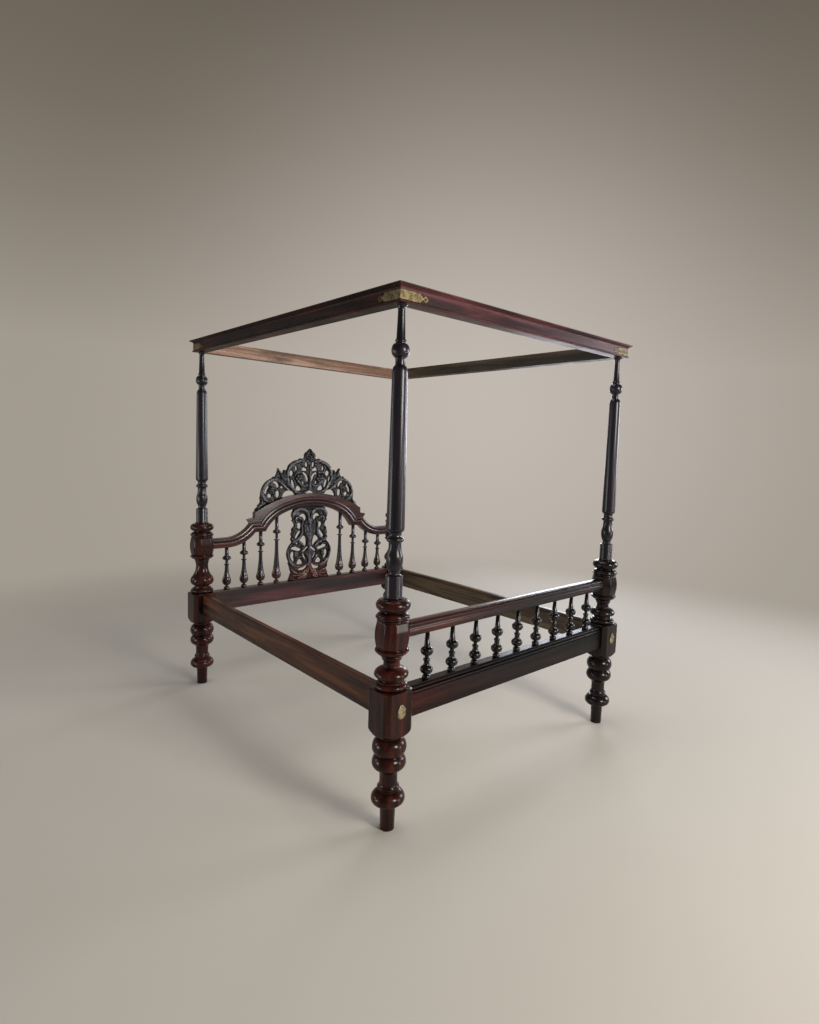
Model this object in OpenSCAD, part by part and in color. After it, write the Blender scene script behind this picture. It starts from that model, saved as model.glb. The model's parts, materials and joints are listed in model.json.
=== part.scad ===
// Four-poster bed in dark turned rosewood: four posts in two lengths each, a spindle
// footboard, a headboard with a reeded arched rail, carved splat and carved crest, and
// a moulded tester frame. Millimetres, +Z up, head of the bed at +Y. The origin is on
// the floor, midway between the four posts.

/* [Bed] */
// Distance between the post axes across the bed
post_gap_w = 1570; // [1470:10:1900]
// Distance between the post axes along the bed
post_gap_l = 2000; // [1600:10:2400]
// Height of the rails' undersides above the foot of the joint blocks
rail_rise = 66; // [52:1:70]
// Height of the head and side rails
rail_h = 128; // [100:1:134]
// How much taller the head pair's lower posts stand than the foot pair's
head_rise = 78; // [40:1:120]
// Height of the tester's underside above the floor
tester_z = 2141; // [1950:1:2400]

/* [Joint blocks and barrels] */
// Width of a post's joint block across its flats
block_w = 146; // [136:1:160]
// Height of a joint block
block_h = 200; // [190:1:240]
// Leg of the bevel along a joint block's upright edges
block_bevel = 21; // [6:1:22]
// Height of the turned shoulder under a joint block
block_shoulder = 48; // [20:1:60]
// Half-width of the octagonal barrel at its middle
barrel_r = 66; // [62:0.5:72]
// Height of the octagonal barrel
barrel_h = 112; // [104:1:130]
// How much the barrel's flats belly out at mid height
barrel_belly = 7.5; // [2:0.5:10]

/* [Rails] */
// Thickness of the side rails
side_rail_t = 48; // [40:1:60]
// Width of the rebate along a side rail's inner top edge
rebate_w = 14; // [8:1:18]
// Depth of that rebate
rebate_d = 18; // [8:1:30]
// Thickness of the head rail
head_rail_t = 50; // [40:1:60]
// Distance of the foot rail's front face from the foot posts' axes
foot_rail_front = 40; // [34:1:48]
// Thickness of the foot rail
foot_rail_t = 56; // [50:1:70]
// Distance of the foot top rail's underside above the foot rail
foot_gap = 212; // [196:1:230]
// Height of the foot top rail
foot_top_h = 63; // [56:1:70]
// Length of the rails' stub tenons
tenon_l = 38; // [25:1:42]
// Thickness of the rails' stub tenons
tenon_t = 24; // [16:1:30]
// Shoulder above and below the stub tenons
tenon_shoulder = 22; // [19:1:26]
// Clearance all round a tenon, pin or bolt in its hole
fit = 0.3; // [0.1:0.05:0.6]

/* [Headboard] */
// Distance of the head top rail's straight ends' underside above the head rail
head_gap = 285; // [270:1:290]
// Width of the head top rail's reeded band
band_w = 66; // [60:1:72]
// Depth of the band's reeds in front of the plain field
reed_proud = 8; // [4:1:12]
// Thickness of the head top rail behind its field
field_t = 42; // [34:1:48]
// Radius of the swan necks' undersides
neck_r = 262; // [240:1:280]
// Distance of a swan neck's start from the post's axis
neck_inset = 160; // [120:1:170]
// Height of the ledges' undersides above the straight ends'
ledge_rise = 91; // [80:1:96]
// Length of the ledge between swan neck and arch
ledge_l = 73; // [60:1:90]
// Height of the arch's underside above the ledges'
arch_rise = 168; // [150:1:190]
// Radius of the arch's crown
crown_r = 540; // [500:5:620]
// Angle from the vertical at which the crown meets the haunches
crown_angle = 25; // [20:1:28]
// Height of the field over the reeds at the top of the arch
field_h = 25; // [18:1:32]
// Radius of the field's upper edge
field_r = 820; // [780:5:880]
// Thickness of the carved crest
crest_t = 26; // [18:1:32]
// Thickness of the carved splat
splat_t = 24; // [18:1:30]
// Number of head spindles on each side of the splat
head_spindles = 4; // [4]
// Distance of the spindle nearest the splat from the middle of the bed
spindle_inner = 262; // [240:1:280]
// Distance of the outermost head spindle from the post's axis
spindle_outer = 163; // [140:1:175]

/* [Footboard] */
// Number of foot spindles
foot_spindles = 9; // [9]
// Spacing of the foot spindles
foot_pitch = 150; // [120:1:155]
// Distance of the foot spindles in front of the foot posts' axes
foot_spindle_y = 8; // [2:1:12]
// Radius of the pins at both ends of a foot spindle
spindle_pin_r = 6; // [4:0.5:7]
// Length of the pins and tenons at the ends of the spindles
spindle_pin_l = 12; // [8:1:20]

/* [Tester] */
// Height of the tester rails
tester_h = 73; // [60:1:90]
// Distance of the tester's inner face inside the post axes
tester_in = 22; // [20:1:40]
// Distance of the tester's fascia outside the post axes
tester_out = 38; // [32:1:50]
// How far the crown lip stands out over the fascia
crown_out = 19; // [10:1:30]
// Radius of the iron pins between posts and tester
tester_pin_r = 6; // [4:0.5:8]
// Length of an iron pin in the post and in the tester together
tester_pin_l = 70; // [50:1:90]
// Length of a corner plate along each rail
plate_l = 142; // [110:1:180]
// Height of a corner plate
plate_h = 36; // [30:1:37]
// Thickness of a corner plate
plate_t = 1.5; // [1:0.1:2.5]

/* [Fittings] */
// Radius of the bed bolts
bolt_r = 5; // [4:0.5:6]
// Radius of a bolt's head and of its washer
bolt_head_r = 11; // [9:0.5:12]
// Height of the bolts above the rails' undersides
bolt_rise = 54; // [48:1:60]
// How deep a bolt's head is sunk in its joint block
bolt_sink = 22; // [16:1:26]
// Length of bolt inside the side rail
bolt_grip = 95; // [80:1:120]
// Width of a bolt cover
cover_w = 40; // [34:1:44]
// Height of a bolt cover
cover_h = 59; // [50:1:64]
// Thickness of a bolt cover
cover_t = 2.4; // [1.5:0.1:3]
// Radius of the pin a bolt cover hangs from
cover_pin_r = 2; // [1.5:0.1:2.5]
// Clearance between that pin and its cover
cover_play = 0.06; // [0.03:0.01:0.1]

/* [Hidden] */
$fn = 64;
half_w = post_gap_w / 2;
half_l = post_gap_l / 2;
SIDES = [["left", -1], ["right", 1]];
ENDS = [["foot", -1], ["head", 1]];

ROSEWOOD = "#3a1f1a";
EBONISED = "#26211f";
BARE_WOOD = "#6b5040";
BRASS = "#a5823f";
IRON = "#45403c";

// ---------------------------------------------------------------- turnings
// A turning is a list of members from the bottom up, each [kind, height, radius at its
// foot, radius at its top, degrees of arc (90 when left out)]. "swell" and "hollow" end
// upright, "shrink" and "flare" start upright, "line" is straight.
function member(m, z) =
    let (arc = is_undef(m[4]) ? 90 : m[4],
         steps = m[0] == "line" ? 1 : max(3, ceil(arc / 13)),
         upright_end = m[0] == "swell" || m[0] == "hollow")
    [for (i = [0:steps])
        let (t = i / steps,
             a = upright_end ? arc * (1 - t) : arc * t,
             across = (1 - cos(a)) / (1 - cos(arc)),
             along = sin(a) / sin(arc))
        m[0] == "line" ? [m[2] + (m[3] - m[2]) * t, z + m[1] * t]
        : upright_end ? [m[3] + (m[2] - m[3]) * across, z + m[1] * (1 - along)]
        : [m[2] + (m[3] - m[2]) * across, z + m[1] * along]];

function height(list, n) = n <= 0 ? 0 : list[n - 1][1] + height(list, n - 1);
function total(list) = height(list, len(list));
function without_doubles(pts) =
    [for (i = [0:len(pts) - 1]) if (i == 0 || norm(pts[i] - pts[i - 1]) > 0.02) pts[i]];
function outline(list, z0) =
    without_doubles([for (i = [0:len(list) - 1]) each member(list[i], z0 + height(list, i))]);

module turned(list, z0 = 0) {
    rotate_extrude()
        polygon(concat([[0, z0]], outline(list, z0), [[0, z0 + total(list)]]));
}

// Leg, from the floor to the joint block
LEG = [
    ["line", 108, 30, 33],
    ["swell", 27, 36, 71, 84], ["line", 3, 71, 71], ["shrink", 32, 71, 44, 64],
    ["line", 8, 42, 42], ["swell", 7, 42, 46.5], ["shrink", 7, 46.5, 42],
    ["hollow", 18, 42, 37.5, 60], ["line", 26, 37.5, 37.5], ["flare", 26, 37.5, 48, 62],
    ["swell", 30, 48, 71.5, 66], ["shrink", 34, 71.5, 55, 60],
    ["swell", 33, 55, 72, 60], ["shrink", 40, 72, 47, 76], ["line", 9, 46, 47]];
// Rings over the joint block
BASE_RINGS = [
    ["swell", 12.5, 55, 69], ["shrink", 12.5, 69, 55],
    ["swell", 4, 53, 57], ["shrink", 4, 57, 53], ["line", 4, 46, 46]];
// Squat vase of the foot posts
FOOT_VASE = [
    ["line", 8, 45, 45], ["swell", 15, 47, 71], ["shrink", 26, 71, 48, 62],
    ["hollow", 10, 48, 34, 60], ["line", 13, 34, 34], ["flare", 14, 34, 41, 60],
    ["line", 7, 40, 40]];
// Taller vase of the head posts; its long hollow takes up what head_rise asks for
HEAD_VASE = [
    ["line", 10, 43, 43], ["swell", 30, 45, 71, 80], ["shrink", 30, 71, 60, 50],
    ["hollow", total(FOOT_VASE) + head_rise - 104, 60, 37, 40], ["flare", 28, 37, 42, 60],
    ["line", 6, 41, 41]];
// Ring and cup under the barrel
CUP = [
    ["swell", 5, 41, 45], ["shrink", 5, 45, 41], ["line", 2, 41, 41],
    ["swell", 14, 46, 66, 76], ["swell", 4, 67, 71], ["line", 2, 71, 71],
    ["shrink", 3, 71, 67], ["hollow", 5, 67, 60, 60]];
// Cap over the barrel
CAP = [
    ["swell", 4, 60, 65], ["shrink", 4, 65, 61], ["line", 3, 61, 61],
    ["swell", 6, 62, 71], ["shrink", 5, 71, 66], ["shrink", 15, 66, 47, 70],
    ["line", 5, 45, 45], ["swell", 23, 46, 71], ["shrink", 24, 71, 47], ["line", 3, 44, 44]];
// Foot of the upper posts, up to the shaft
SHAFT_BASE = [
    ["swell", 4, 35, 39], ["shrink", 4, 39, 36], ["line", 85, 35.5, 35.5],
    ["hollow", 9, 35.5, 23, 70], ["line", 10, 23, 23],
    ["swell", 47, 23, 34.5, 70], ["shrink", 20, 34.5, 32, 40], ["hollow", 43, 32, 25.5, 50],
    ["flare", 9, 25.5, 29, 60], ["swell", 9, 29, 35.5], ["shrink", 9, 35.5, 29],
    ["hollow", 12, 29, 25, 70], ["flare", 12, 25, 31, 70], ["swell", 13, 31, 37, 60]];
// Head of the upper posts, from the shaft's shoulder to the tester
SHAFT_HEAD = [
    ["shrink", 27, 31, 19.5, 70], ["line", 26, 19.5, 19.5], ["line", 4, 22.5, 22.5],
    ["swell", 26, 20.5, 36], ["shrink", 27, 36, 20.5], ["line", 5, 19.5, 19.5],
    ["swell", 5, 19.5, 22.5], ["shrink", 6, 22.5, 18.5], ["line", 68, 18, 15.5],
    ["line", 38, 15.5, 14.5], ["flare", 26, 14.5, 25, 80]];

block_z = total(LEG);
rail_z = block_z + rail_rise;
rail_top = rail_z + rail_h;
bolt_z = rail_z + bolt_rise;
core_r = 50;
function vase(end) = end > 0 ? HEAD_VASE : FOOT_VASE;
function lower_members(end) = concat(LEG, [["line", block_h, core_r, core_r]], BASE_RINGS,
    vase(end), CUP, [["line", barrel_h, core_r, core_r]], CAP);
function lower_top(end) = total(lower_members(end));
function barrel_z(end) = lower_top(end) - total(CAP) - barrel_h;

// Silhouette of the barrel's flats, scaled for the narrower bevel flats
function barrel_side(t) = barrel_r - barrel_belly + barrel_belly * sin(180 * t);
module barrel(z) {
    steps = 8;
    bevel_flats = 1.066;
    translate([0, 0, z])
        intersection_for (k = [0:3])
            let (wide = k % 2 ? bevel_flats : 1)
            rotate([90, 0, 45 * k])
            linear_extrude(4 * barrel_r, center = true)
                polygon(concat(
                    [for (i = [0:steps]) [wide * barrel_side(i / steps), barrel_h * i / steps]],
                    [for (i = [steps:-1:0]) [-wide * barrel_side(i / steps), barrel_h * i / steps]]));
}

module joint_block() {
    h = block_w / 2;
    c = h - block_bevel;
    reach = h * 1.3;
    top_round = 12;
    intersection() {
        translate([0, 0, block_z])
            linear_extrude(block_h)
                polygon([[h, -c], [h, c], [c, h], [-c, h], [-h, c], [-h, -c], [-c, -h], [c, -h]]);
        turned([["swell", block_shoulder, 52, reach, 60],
                ["line", block_h - block_shoulder - top_round, reach, reach],
                ["shrink", top_round, reach, h + 1, 60]], block_z);
    }
}

socket_r = 16;
socket_l = 80;

// Box-shaped stub tenon, or its mortise when grown by the clearance; it points along +X
module tenon(h, grow = 0) {
    translate([-1, -tenon_t / 2 - grow, tenon_shoulder - grow])
        cube([tenon_l + 1 + 2 * grow, tenon_t + 2 * grow, h - 2 * tenon_shoulder + 2 * grow]);
}

// Lower post at its place; end is -1 at the foot and 1 at the head, side -1 at the left
module lower_post(end, side) {
    top = lower_top(end);
    color(ROSEWOOD) translate([side * half_w, end * half_l, 0]) difference() {
        union() {
            turned(lower_members(end));
            joint_block();
            barrel(barrel_z(end));
        }
        // mortises of the side rail and of the cross rail
        translate([0, -end * block_w / 2, rail_z])
            rotate([0, 0, end * 90]) tenon(rail_h, fit);
        translate([-side * block_w / 2, end < 0 ? foot_rail_y() : 0, rail_z])
            rotate([0, 0, side > 0 ? 0 : 180]) tenon(rail_h, fit);
        // bolt hole with the sunk seat for washer and head
        translate([0, 0, bolt_z]) rotate([end * 90, 0, 0]) {
            translate([0, 0, -block_w]) cylinder(r = bolt_r + fit, h = 2 * block_w);
            translate([0, 0, -block_w / 2 - 1]) cylinder(r = bolt_head_r + 2, h = bolt_sink + 1);
        }
        // hole of the bolt cover's pin
        translate([0, end * block_w / 2, cover_pin_z])
            rotate([end * 90, 0, 0]) cylinder(r = cover_pin_r, h = cover_pin_l);
        // housing of the top rail's end
        translate([-side * half_w, -end * half_l, 0])
            if (end < 0) foot_top_bar(fit); else head_top_ends(fit);
        // socket of the upper post
        translate([0, 0, top - socket_l - 1]) cylinder(r = socket_r + fit, h = socket_l + 2);
    }
}

module upper_post(end, side) {
    base = lower_top(end);
    shaft = tester_z - base - total(SHAFT_BASE) - total(SHAFT_HEAD);
    color(EBONISED) translate([side * half_w, end * half_l, 0]) difference() {
        turned(concat([["line", socket_l, socket_r, socket_r]], SHAFT_BASE,
            [["line", shaft, 37, 31]], SHAFT_HEAD), base - socket_l);
        translate([0, 0, tester_z - tester_pin_l / 2])
            cylinder(r = tester_pin_r + fit, h = tester_pin_l);
    }
}

// ---------------------------------------------------------------- rails
function arc(x, y, r, a0, a1, steps = 6) =
    [for (i = [0:steps]) let (a = a0 + (a1 - a0) * i / steps) [x + r * cos(a), y + r * sin(a)]];

// Extrudes a section drawn in (Y, Z) along X, centred
module along_x(l) {
    rotate([90, 0, 90]) linear_extrude(l, center = true) children();
}

side_rail_l = post_gap_l - block_w;
module side_rail(side) {
    nut_y = half_l - block_w / 2 - bolt_grip + nut_t / 2 + 6;
    color(ROSEWOOD) translate([side * half_w, 0, rail_z]) difference() {
        union() {
            rotate([90, 0, 0]) linear_extrude(side_rail_l, center = true)
                polygon([for (p = [[-side_rail_t / 2, 0], [side_rail_t / 2, 0],
                        [side_rail_t / 2, rail_h - 4], [side_rail_t / 2 - 4, rail_h],
                        [rebate_w - side_rail_t / 2, rail_h],
                        [rebate_w - side_rail_t / 2, rail_h - rebate_d],
                        [-side_rail_t / 2, rail_h - rebate_d]])
                    [side * p[0], p[1]]]);
            for (end = [-1, 1])
                translate([0, end * side_rail_l / 2, 0]) rotate([0, 0, end * 90]) tenon(rail_h);
        }
        for (end = [-1, 1]) {
            translate([0, end * half_l, bolt_rise]) rotate([end * 90, 0, 0])
                cylinder(r = bolt_r + fit, h = block_w / 2 + bolt_grip + 4);
            // pocket for the nut, let in from the inner face
            translate([-side * side_rail_t / 2, end * nut_y, bolt_rise])
                cube([side_rail_t + nut_w + 2 * fit, nut_t + 2 * fit, nut_w + 2 * fit], center = true);
        }
    }
}

module head_rail() {
    l = post_gap_w - block_w;
    color(ROSEWOOD) translate([0, half_l, rail_z]) difference() {
        union() {
            along_x(l) polygon([[-head_rail_t / 2, 0], [head_rail_t / 2, 0],
                [head_rail_t / 2, rail_h], [3 - head_rail_t / 2, rail_h],
                [-head_rail_t / 2, rail_h - 3]]);
            for (s = [0, 1]) mirror([s, 0, 0]) translate([l / 2, 0, 0]) tenon(rail_h);
        }
        for (i = [1:2 * head_spindles])
            translate([head_spindle_x(i), 0, rail_h - spindle_pin_l - 1])
                cylinder(r = head_pin_r + fit, h = spindle_pin_l + 2);
        translate([0, 0, rail_h - splat_tongue]) splat_tongues(splat_tongue + 1, fit);
    }
}

// Moulded top edge of the foot rail: two beads and a fillet that step back to the top
function foot_rail_y() = foot_rail_t / 2 - foot_rail_front;
module foot_rail() {
    l = post_gap_w - block_w;
    f = -foot_rail_front;
    b = f + foot_rail_t;
    color(ROSEWOOD) translate([0, -half_l, rail_z]) difference() {
        union() {
            along_x(l) polygon(concat([[b, 0], [b, rail_h], [f + 15, rail_h], [f + 15, rail_h - 6]],
                arc(f + 12, rail_h - 13, 6, 60, 225, 5), arc(f + 7, rail_h - 27, 7, 60, 225, 5),
                [[f + 4, rail_h - 33], [f, rail_h - 34], [f, 0]]));
            for (s = [0, 1]) mirror([s, 0, 0])
                translate([l / 2, foot_rail_y(), 0]) tenon(rail_h);
        }
        foot_pin_holes(rail_h - spindle_pin_l - 1);
    }
}

module foot_pin_holes(z) {
    for (i = [1:foot_spindles])
        translate([foot_spindle_x(i), -foot_spindle_y, z])
            cylinder(r = spindle_pin_r + fit, h = spindle_pin_l + 2);
}

foot_top_z = rail_top + foot_gap;
housing = 14;
// Crowned top, bead, quirk, convex band and fillet, at their real place
module foot_top_bar(grow = 0) {
    h = foot_top_h;
    translate([0, -half_l, foot_top_z]) along_x(post_gap_w - 2 * (barrel_r - housing) + 2 * grow)
        offset(delta = grow) polygon(concat([[20, 4], [20, h - 6]],
            arc(-5, h - 65, 65, 67, 112, 6), arc(-30, h - 13, 5, 70, 250, 6),
            [[-31, h - 21], [-33, h - 23]],
            arc(-16, 23, 20, 145, 215, 6), [[-29, 9], [-26, 7], [-26, 0], [16, 0]]));
}
module foot_top_rail() {
    color(ROSEWOOD) difference() {
        foot_top_bar();
        translate([0, -half_l, foot_top_z]) foot_pin_holes(-1);
    }
}

// ---------------------------------------------------------------- spindles
function foot_spindle_x(i) = (i - (foot_spindles + 1) / 2) * foot_pitch;
FOOT_SPINDLE = [
    ["swell", 8, 14, 18.5], ["shrink", 12, 18.5, 10], ["line", 4, 9.5, 9.5],
    ["swell", 20, 10, 28], ["shrink", 14, 28, 20, 62], ["hollow", 16, 20, 12, 60],
    ["line", 6, 12, 12], ["swell", 6, 12, 15.5], ["shrink", 7, 15.5, 9.5], ["line", 12, 9, 9],
    ["swell", 21, 10, 28], ["shrink", 13, 28, 21, 60], ["hollow", 9, 21, 13.5, 60]];
module foot_spindle(i) {
    color(EBONISED) translate([foot_spindle_x(i), -half_l - foot_spindle_y, 0])
        turned(concat([["line", spindle_pin_l, spindle_pin_r, spindle_pin_r]], FOOT_SPINDLE,
            [["line", foot_gap - total(FOOT_SPINDLE), 13, 8.5],
             ["line", spindle_pin_l, spindle_pin_r, spindle_pin_r]]), rail_top - spindle_pin_l);
}

head_pin_r = 8;
head_stem_r = 12.5;
function head_spindle_x(i) =
    let (side = i <= head_spindles ? -1 : 1,
         k = i <= head_spindles ? i - 1 : 2 * head_spindles - i,
         pitch = (half_w - spindle_outer - spindle_inner) / (head_spindles - 1))
    side * (half_w - spindle_outer - k * pitch);
// Members of a head spindle of height h: button, drop, flared collar, ball and stem
function head_members(h) =
    let (tall = (h - 285) / 196, drop = 28.5 + 4 * tall, ring = 18 + 3 * tall,
         collar = 0.735 * h - 40, ball = collar + 44 + 14 * tall)
    [["swell", 7, 14, 20], ["shrink", 14, 20, 9.5], ["line", 9, 9, 9],
     ["swell", 28, 9.5, drop], ["shrink", 26, drop, 0.8 * drop, 50],
     ["hollow", collar - 92, 0.8 * drop, 11.5, 40], ["flare", 5, 11.5, ring - 2, 60],
     ["swell", 3, ring - 2, ring], ["shrink", 4, ring, 11.5],
     ["line", ball - collar - 18, 9.5, 9.5],
     ["swell", 14, 11, 28], ["shrink", 12, 28, 19, 66], ["hollow", 12, 19, head_stem_r, 60],
     ["line", h - ball - 24, head_stem_r, head_stem_r]];
stem_in = 20;
module head_spindle(i) {
    x = head_spindle_x(i);
    color(ROSEWOOD) translate([x, half_l, 0])
        turned(concat([["line", spindle_pin_l, head_pin_r, head_pin_r]],
            head_members(underside(abs(x)) - rail_top),
            [["line", stem_in, head_stem_r, head_stem_r]]), rail_top - spindle_pin_l);
}

// ---------------------------------------------------------------- head top rail
end_z = rail_top + head_gap;
ledge_z = end_z + ledge_rise;
apex_z = ledge_z + arch_rise;
neck_x = half_w - neck_inset;
neck_c = [neck_x, end_z + neck_r];
// where the swan neck reaches the ledge, and where the ledge reaches the arch
neck_end_a = acos(1 - ledge_rise / neck_r);
ledge_x = neck_x - neck_r * sin(neck_end_a);
spring_x = ledge_x - ledge_l;
// A wider headboard has a flatter arch of the same rise, and its crest is wider to match
arch_flat = 2.8 * (half_w - 785);
arch_r = crown_r + arch_flat;
cover_r = field_r + arch_flat;
crest_spread = sqrt(cover_r / field_r);
crown_c = [0, apex_z - arch_r];
// The haunch is tangent to the crown and passes through the end of the ledge
crown_u = [sin(crown_angle), cos(crown_angle)];
spring_d = [spring_x, ledge_z] - crown_c - arch_r * crown_u;
haunch_r = -(spring_d * spring_d) / (2 * spring_d * crown_u);
haunch_c = crown_c + (arch_r - haunch_r) * crown_u;
haunch_end_a = atan2(ledge_z - haunch_c[1], spring_x - haunch_c[0]);
field_c = [0, apex_z + band_w + field_h - cover_r];

// Height of the rail's underside at a distance x from the middle
function underside(x) =
    x > neck_x ? end_z
    : x > ledge_x ? neck_c[1] - sqrt(neck_r * neck_r - pow(neck_x - x, 2))
    : x > spring_x ? ledge_z
    : x > haunch_c[0] + haunch_r * crown_u[0]
        ? haunch_c[1] + sqrt(haunch_r * haunch_r - pow(x - haunch_c[0], 2))
    : crown_c[1] + sqrt(arch_r * arch_r - x * x);

// Section of the band as [distance from the underside, distance in front of the field]:
// a sloping fillet and two fat reeds
fillet_w = 0.26 * band_w;
reed_w = (band_w - fillet_w) / 2;
function reed(u) = [for (i = [0:6]) let (a = 180 * i / 6)
    [u + reed_w * (1 - cos(a)) / 2, 1 + (reed_proud - 1) * sin(a)]];
band = without_doubles(concat([[0, -field_t], [0, -3], [fillet_w - 2, 3], [fillet_w, 1]],
    reed(fillet_w), reed(fillet_w + reed_w), [[band_w, -field_t]]));

// Path of the underside as points (X, Z), from one post to the other; the corners at the
// ledges are mitred and the curves have a point every few degrees
function curve(c, r, a0, a1, steps) =
    [for (i = [0:steps]) let (a = a0 + (a1 - a0) * i / steps) c + r * [cos(a), sin(a)]];
right_path = without_doubles(concat(
    curve(crown_c, arch_r, 90, 90 - crown_angle, 10),
    curve(haunch_c, haunch_r, 90 - crown_angle, haunch_end_a, 12),
    curve(neck_c, neck_r, 270 - neck_end_a, 270, 14),
    [[half_w - barrel_r + housing, end_z]]));
function mirrored(pts) = [for (i = [len(pts) - 1:-1:1]) [-pts[i][0], pts[i][1]]];
band_path = concat(mirrored(right_path), right_path);

// Sweeps a section along a path in the XZ plane, with a mitre at every point. A point of
// the section is [distance to the left of the path, distance in front of it].
module sweep(path, section) {
    n = len(path);
    m = len(section);
    normal = [for (i = [0:n - 2]) let (d = path[i + 1] - path[i]) [-d[1], d[0]] / norm(d)];
    mitre = [for (i = [0:n - 1])
        let (a = normal[max(i - 1, 0)], b = normal[min(i, n - 2)]) (a + b) / (1 + a * b)];
    points = [for (i = [0:n - 1]) for (p = section)
        let (q = path[i] + p[0] * mitre[i]) [q[0], -p[1], q[1]]];
    faces = concat([[for (j = [m - 1:-1:0]) j]],
        [for (i = [0:n - 2]) for (j = [0:m - 1])
            let (k = (j + 1) % m) [i * m + k, (i + 1) * m + k, (i + 1) * m + j, i * m + j]],
        [[for (j = [0:m - 1]) (n - 1) * m + j]]);
    polyhedron(points, faces);
}
module head_top_ends(grow = 0) {
    l = barrel_r;
    for (s = [-1, 1])
        translate([s * (half_w - barrel_r + housing - l / 2 + grow), half_l - field_t / 2, end_z])
            along_x(l) offset(delta = grow) polygon([for (p = band) [-p[1], p[0]]]);
}
// Plain field between the reeds and the crest, with a step over each ledge
step_x = ledge_x + 7;
module field_shape() {
    in = band_w - 12;
    difference() {
        union() {
            intersection() {
                translate(field_c) circle(r = cover_r, $fn = 200);
                translate([-step_x, ledge_z + in]) square([2 * step_x, 2 * arch_rise]);
            }
            for (s = [-1, 1])
                polygon([[s * spring_x, ledge_z + in], [s * (ledge_x + 33), ledge_z + in],
                    [s * (ledge_x + 55), ledge_z + band_w + 22], [s * step_x, ledge_z + band_w + 32]]);
        }
        for (s = [-1, 1])
            translate([s * haunch_c[0], haunch_c[1]]) circle(r = haunch_r + in, $fn = 120);
        intersection() {
            translate(crown_c) circle(r = arch_r + in, $fn = 200);
            polygon([crown_c, crown_c + 2 * arch_r * crown_u,
                crown_c + 2 * arch_r * [-crown_u[0], crown_u[1]]]);
        }
    }
}
module head_top_rail() {
    color(ROSEWOOD) difference() {
        union() {
            translate([0, half_l - field_t / 2, 0]) sweep(band_path, band);
            // the field's back lies a millimetre inside the band's
            translate([0, half_l + field_t / 2 - 1, 0]) rotate([90, 0, 0])
                linear_extrude(field_t - 1) field_shape();
        }
        for (i = [1:2 * head_spindles])
            let (x = head_spindle_x(i))
            translate([x, half_l, underside(abs(x)) - 25])
                cylinder(r = head_stem_r + fit, h = 25 + stem_in + 1);
        translate([0, 0, apex_z - 10]) translate([0, half_l, 0]) top_tongue(10 + splat_tongue, fit);
        crest_dowel_set(fit);
    }
}

// ---------------------------------------------------------------- carving
// Smooth line through points; a point where it turns by more than corner degrees stays sharp
function knot(p, i, closed) = closed ? p[(i + len(p)) % len(p)] : p[min(max(i, 0), len(p) - 1)];
function bend(p, i, closed) =
    let (a = knot(p, i, closed) - knot(p, i - 1, closed), b = knot(p, i + 1, closed) - knot(p, i, closed))
    norm(a) * norm(b) == 0 ? 180 : acos(max(-1, min(1, a * b / norm(a) / norm(b))));
function smooth(p, corner, closed, steps = 3) = concat(
    [for (i = [0:len(p) - (closed ? 1 : 2)])
        let (b = knot(p, i, closed), c = knot(p, i + 1, closed),
             a = bend(p, i, closed) > corner ? b : knot(p, i - 1, closed),
             d = bend(p, i + 1, closed) > corner ? c : knot(p, i + 2, closed))
        for (k = [0:steps - 1]) let (t = k / steps)
            (2 * b + (c - a) * t + (2 * a - 5 * b + 4 * c - d) * t * t
             + (3 * b - a - 3 * c + d) * t * t * t) / 2],
    closed ? [] : [p[len(p) - 1]]);
// Carved outlines are drawn for the right half, from the middle round to the middle
function both_halves(p) = concat(p, [for (i = [len(p) - 2:-1:1]) [-p[i][0], p[i][1]]]);
module pierced(line, holes) {
    difference() {
        polygon(both_halves(smooth(line, 46, false)));
        for (h = holes) for (s = [0, 1]) mirror([s, 0, 0]) polygon(smooth(h, 75, true));
    }
}

// Outline of the crest's right half, from the foot of the middle peak over the arch's edge,
// the tail, the outer lobe, the leaf and the great C up to the crowning leaf
CREST_LINE = [
    [0, 16], [12, 13], [24, 7], [34, 0], [60, -16], [112, -20], [124, -4], [134, 9], [150, 17],
    [170, 20], [190, 15], [205, 2], [213, -14], [222, -36], [262, -66], [330, -100],
    [396, -134], [412, -130], [422, -118], [421, -104], [411, -97], [404, -90], [402, -78],
    [391, -70], [384, -58], [383, -42], [386, -28], [382, -14], [381, 4], [375, 28], [364, 54],
    [348, 76], [328, 93], [308, 103], [296, 110], [289, 120], [278, 120], [268, 128],
    [262, 142], [258, 160], [254, 181], [243, 172], [232, 156], [222, 144], [214, 146],
    [212, 160], [204, 169], [194, 165], [184, 168], [178, 180], [173, 194], [163, 207],
    [148, 219], [130, 230], [110, 238], [94, 240], [84, 249], [70, 252], [60, 246], [50, 250],
    [46, 262], [45, 278], [36, 292], [24, 300], [12, 312], [0, 323]];
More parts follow.
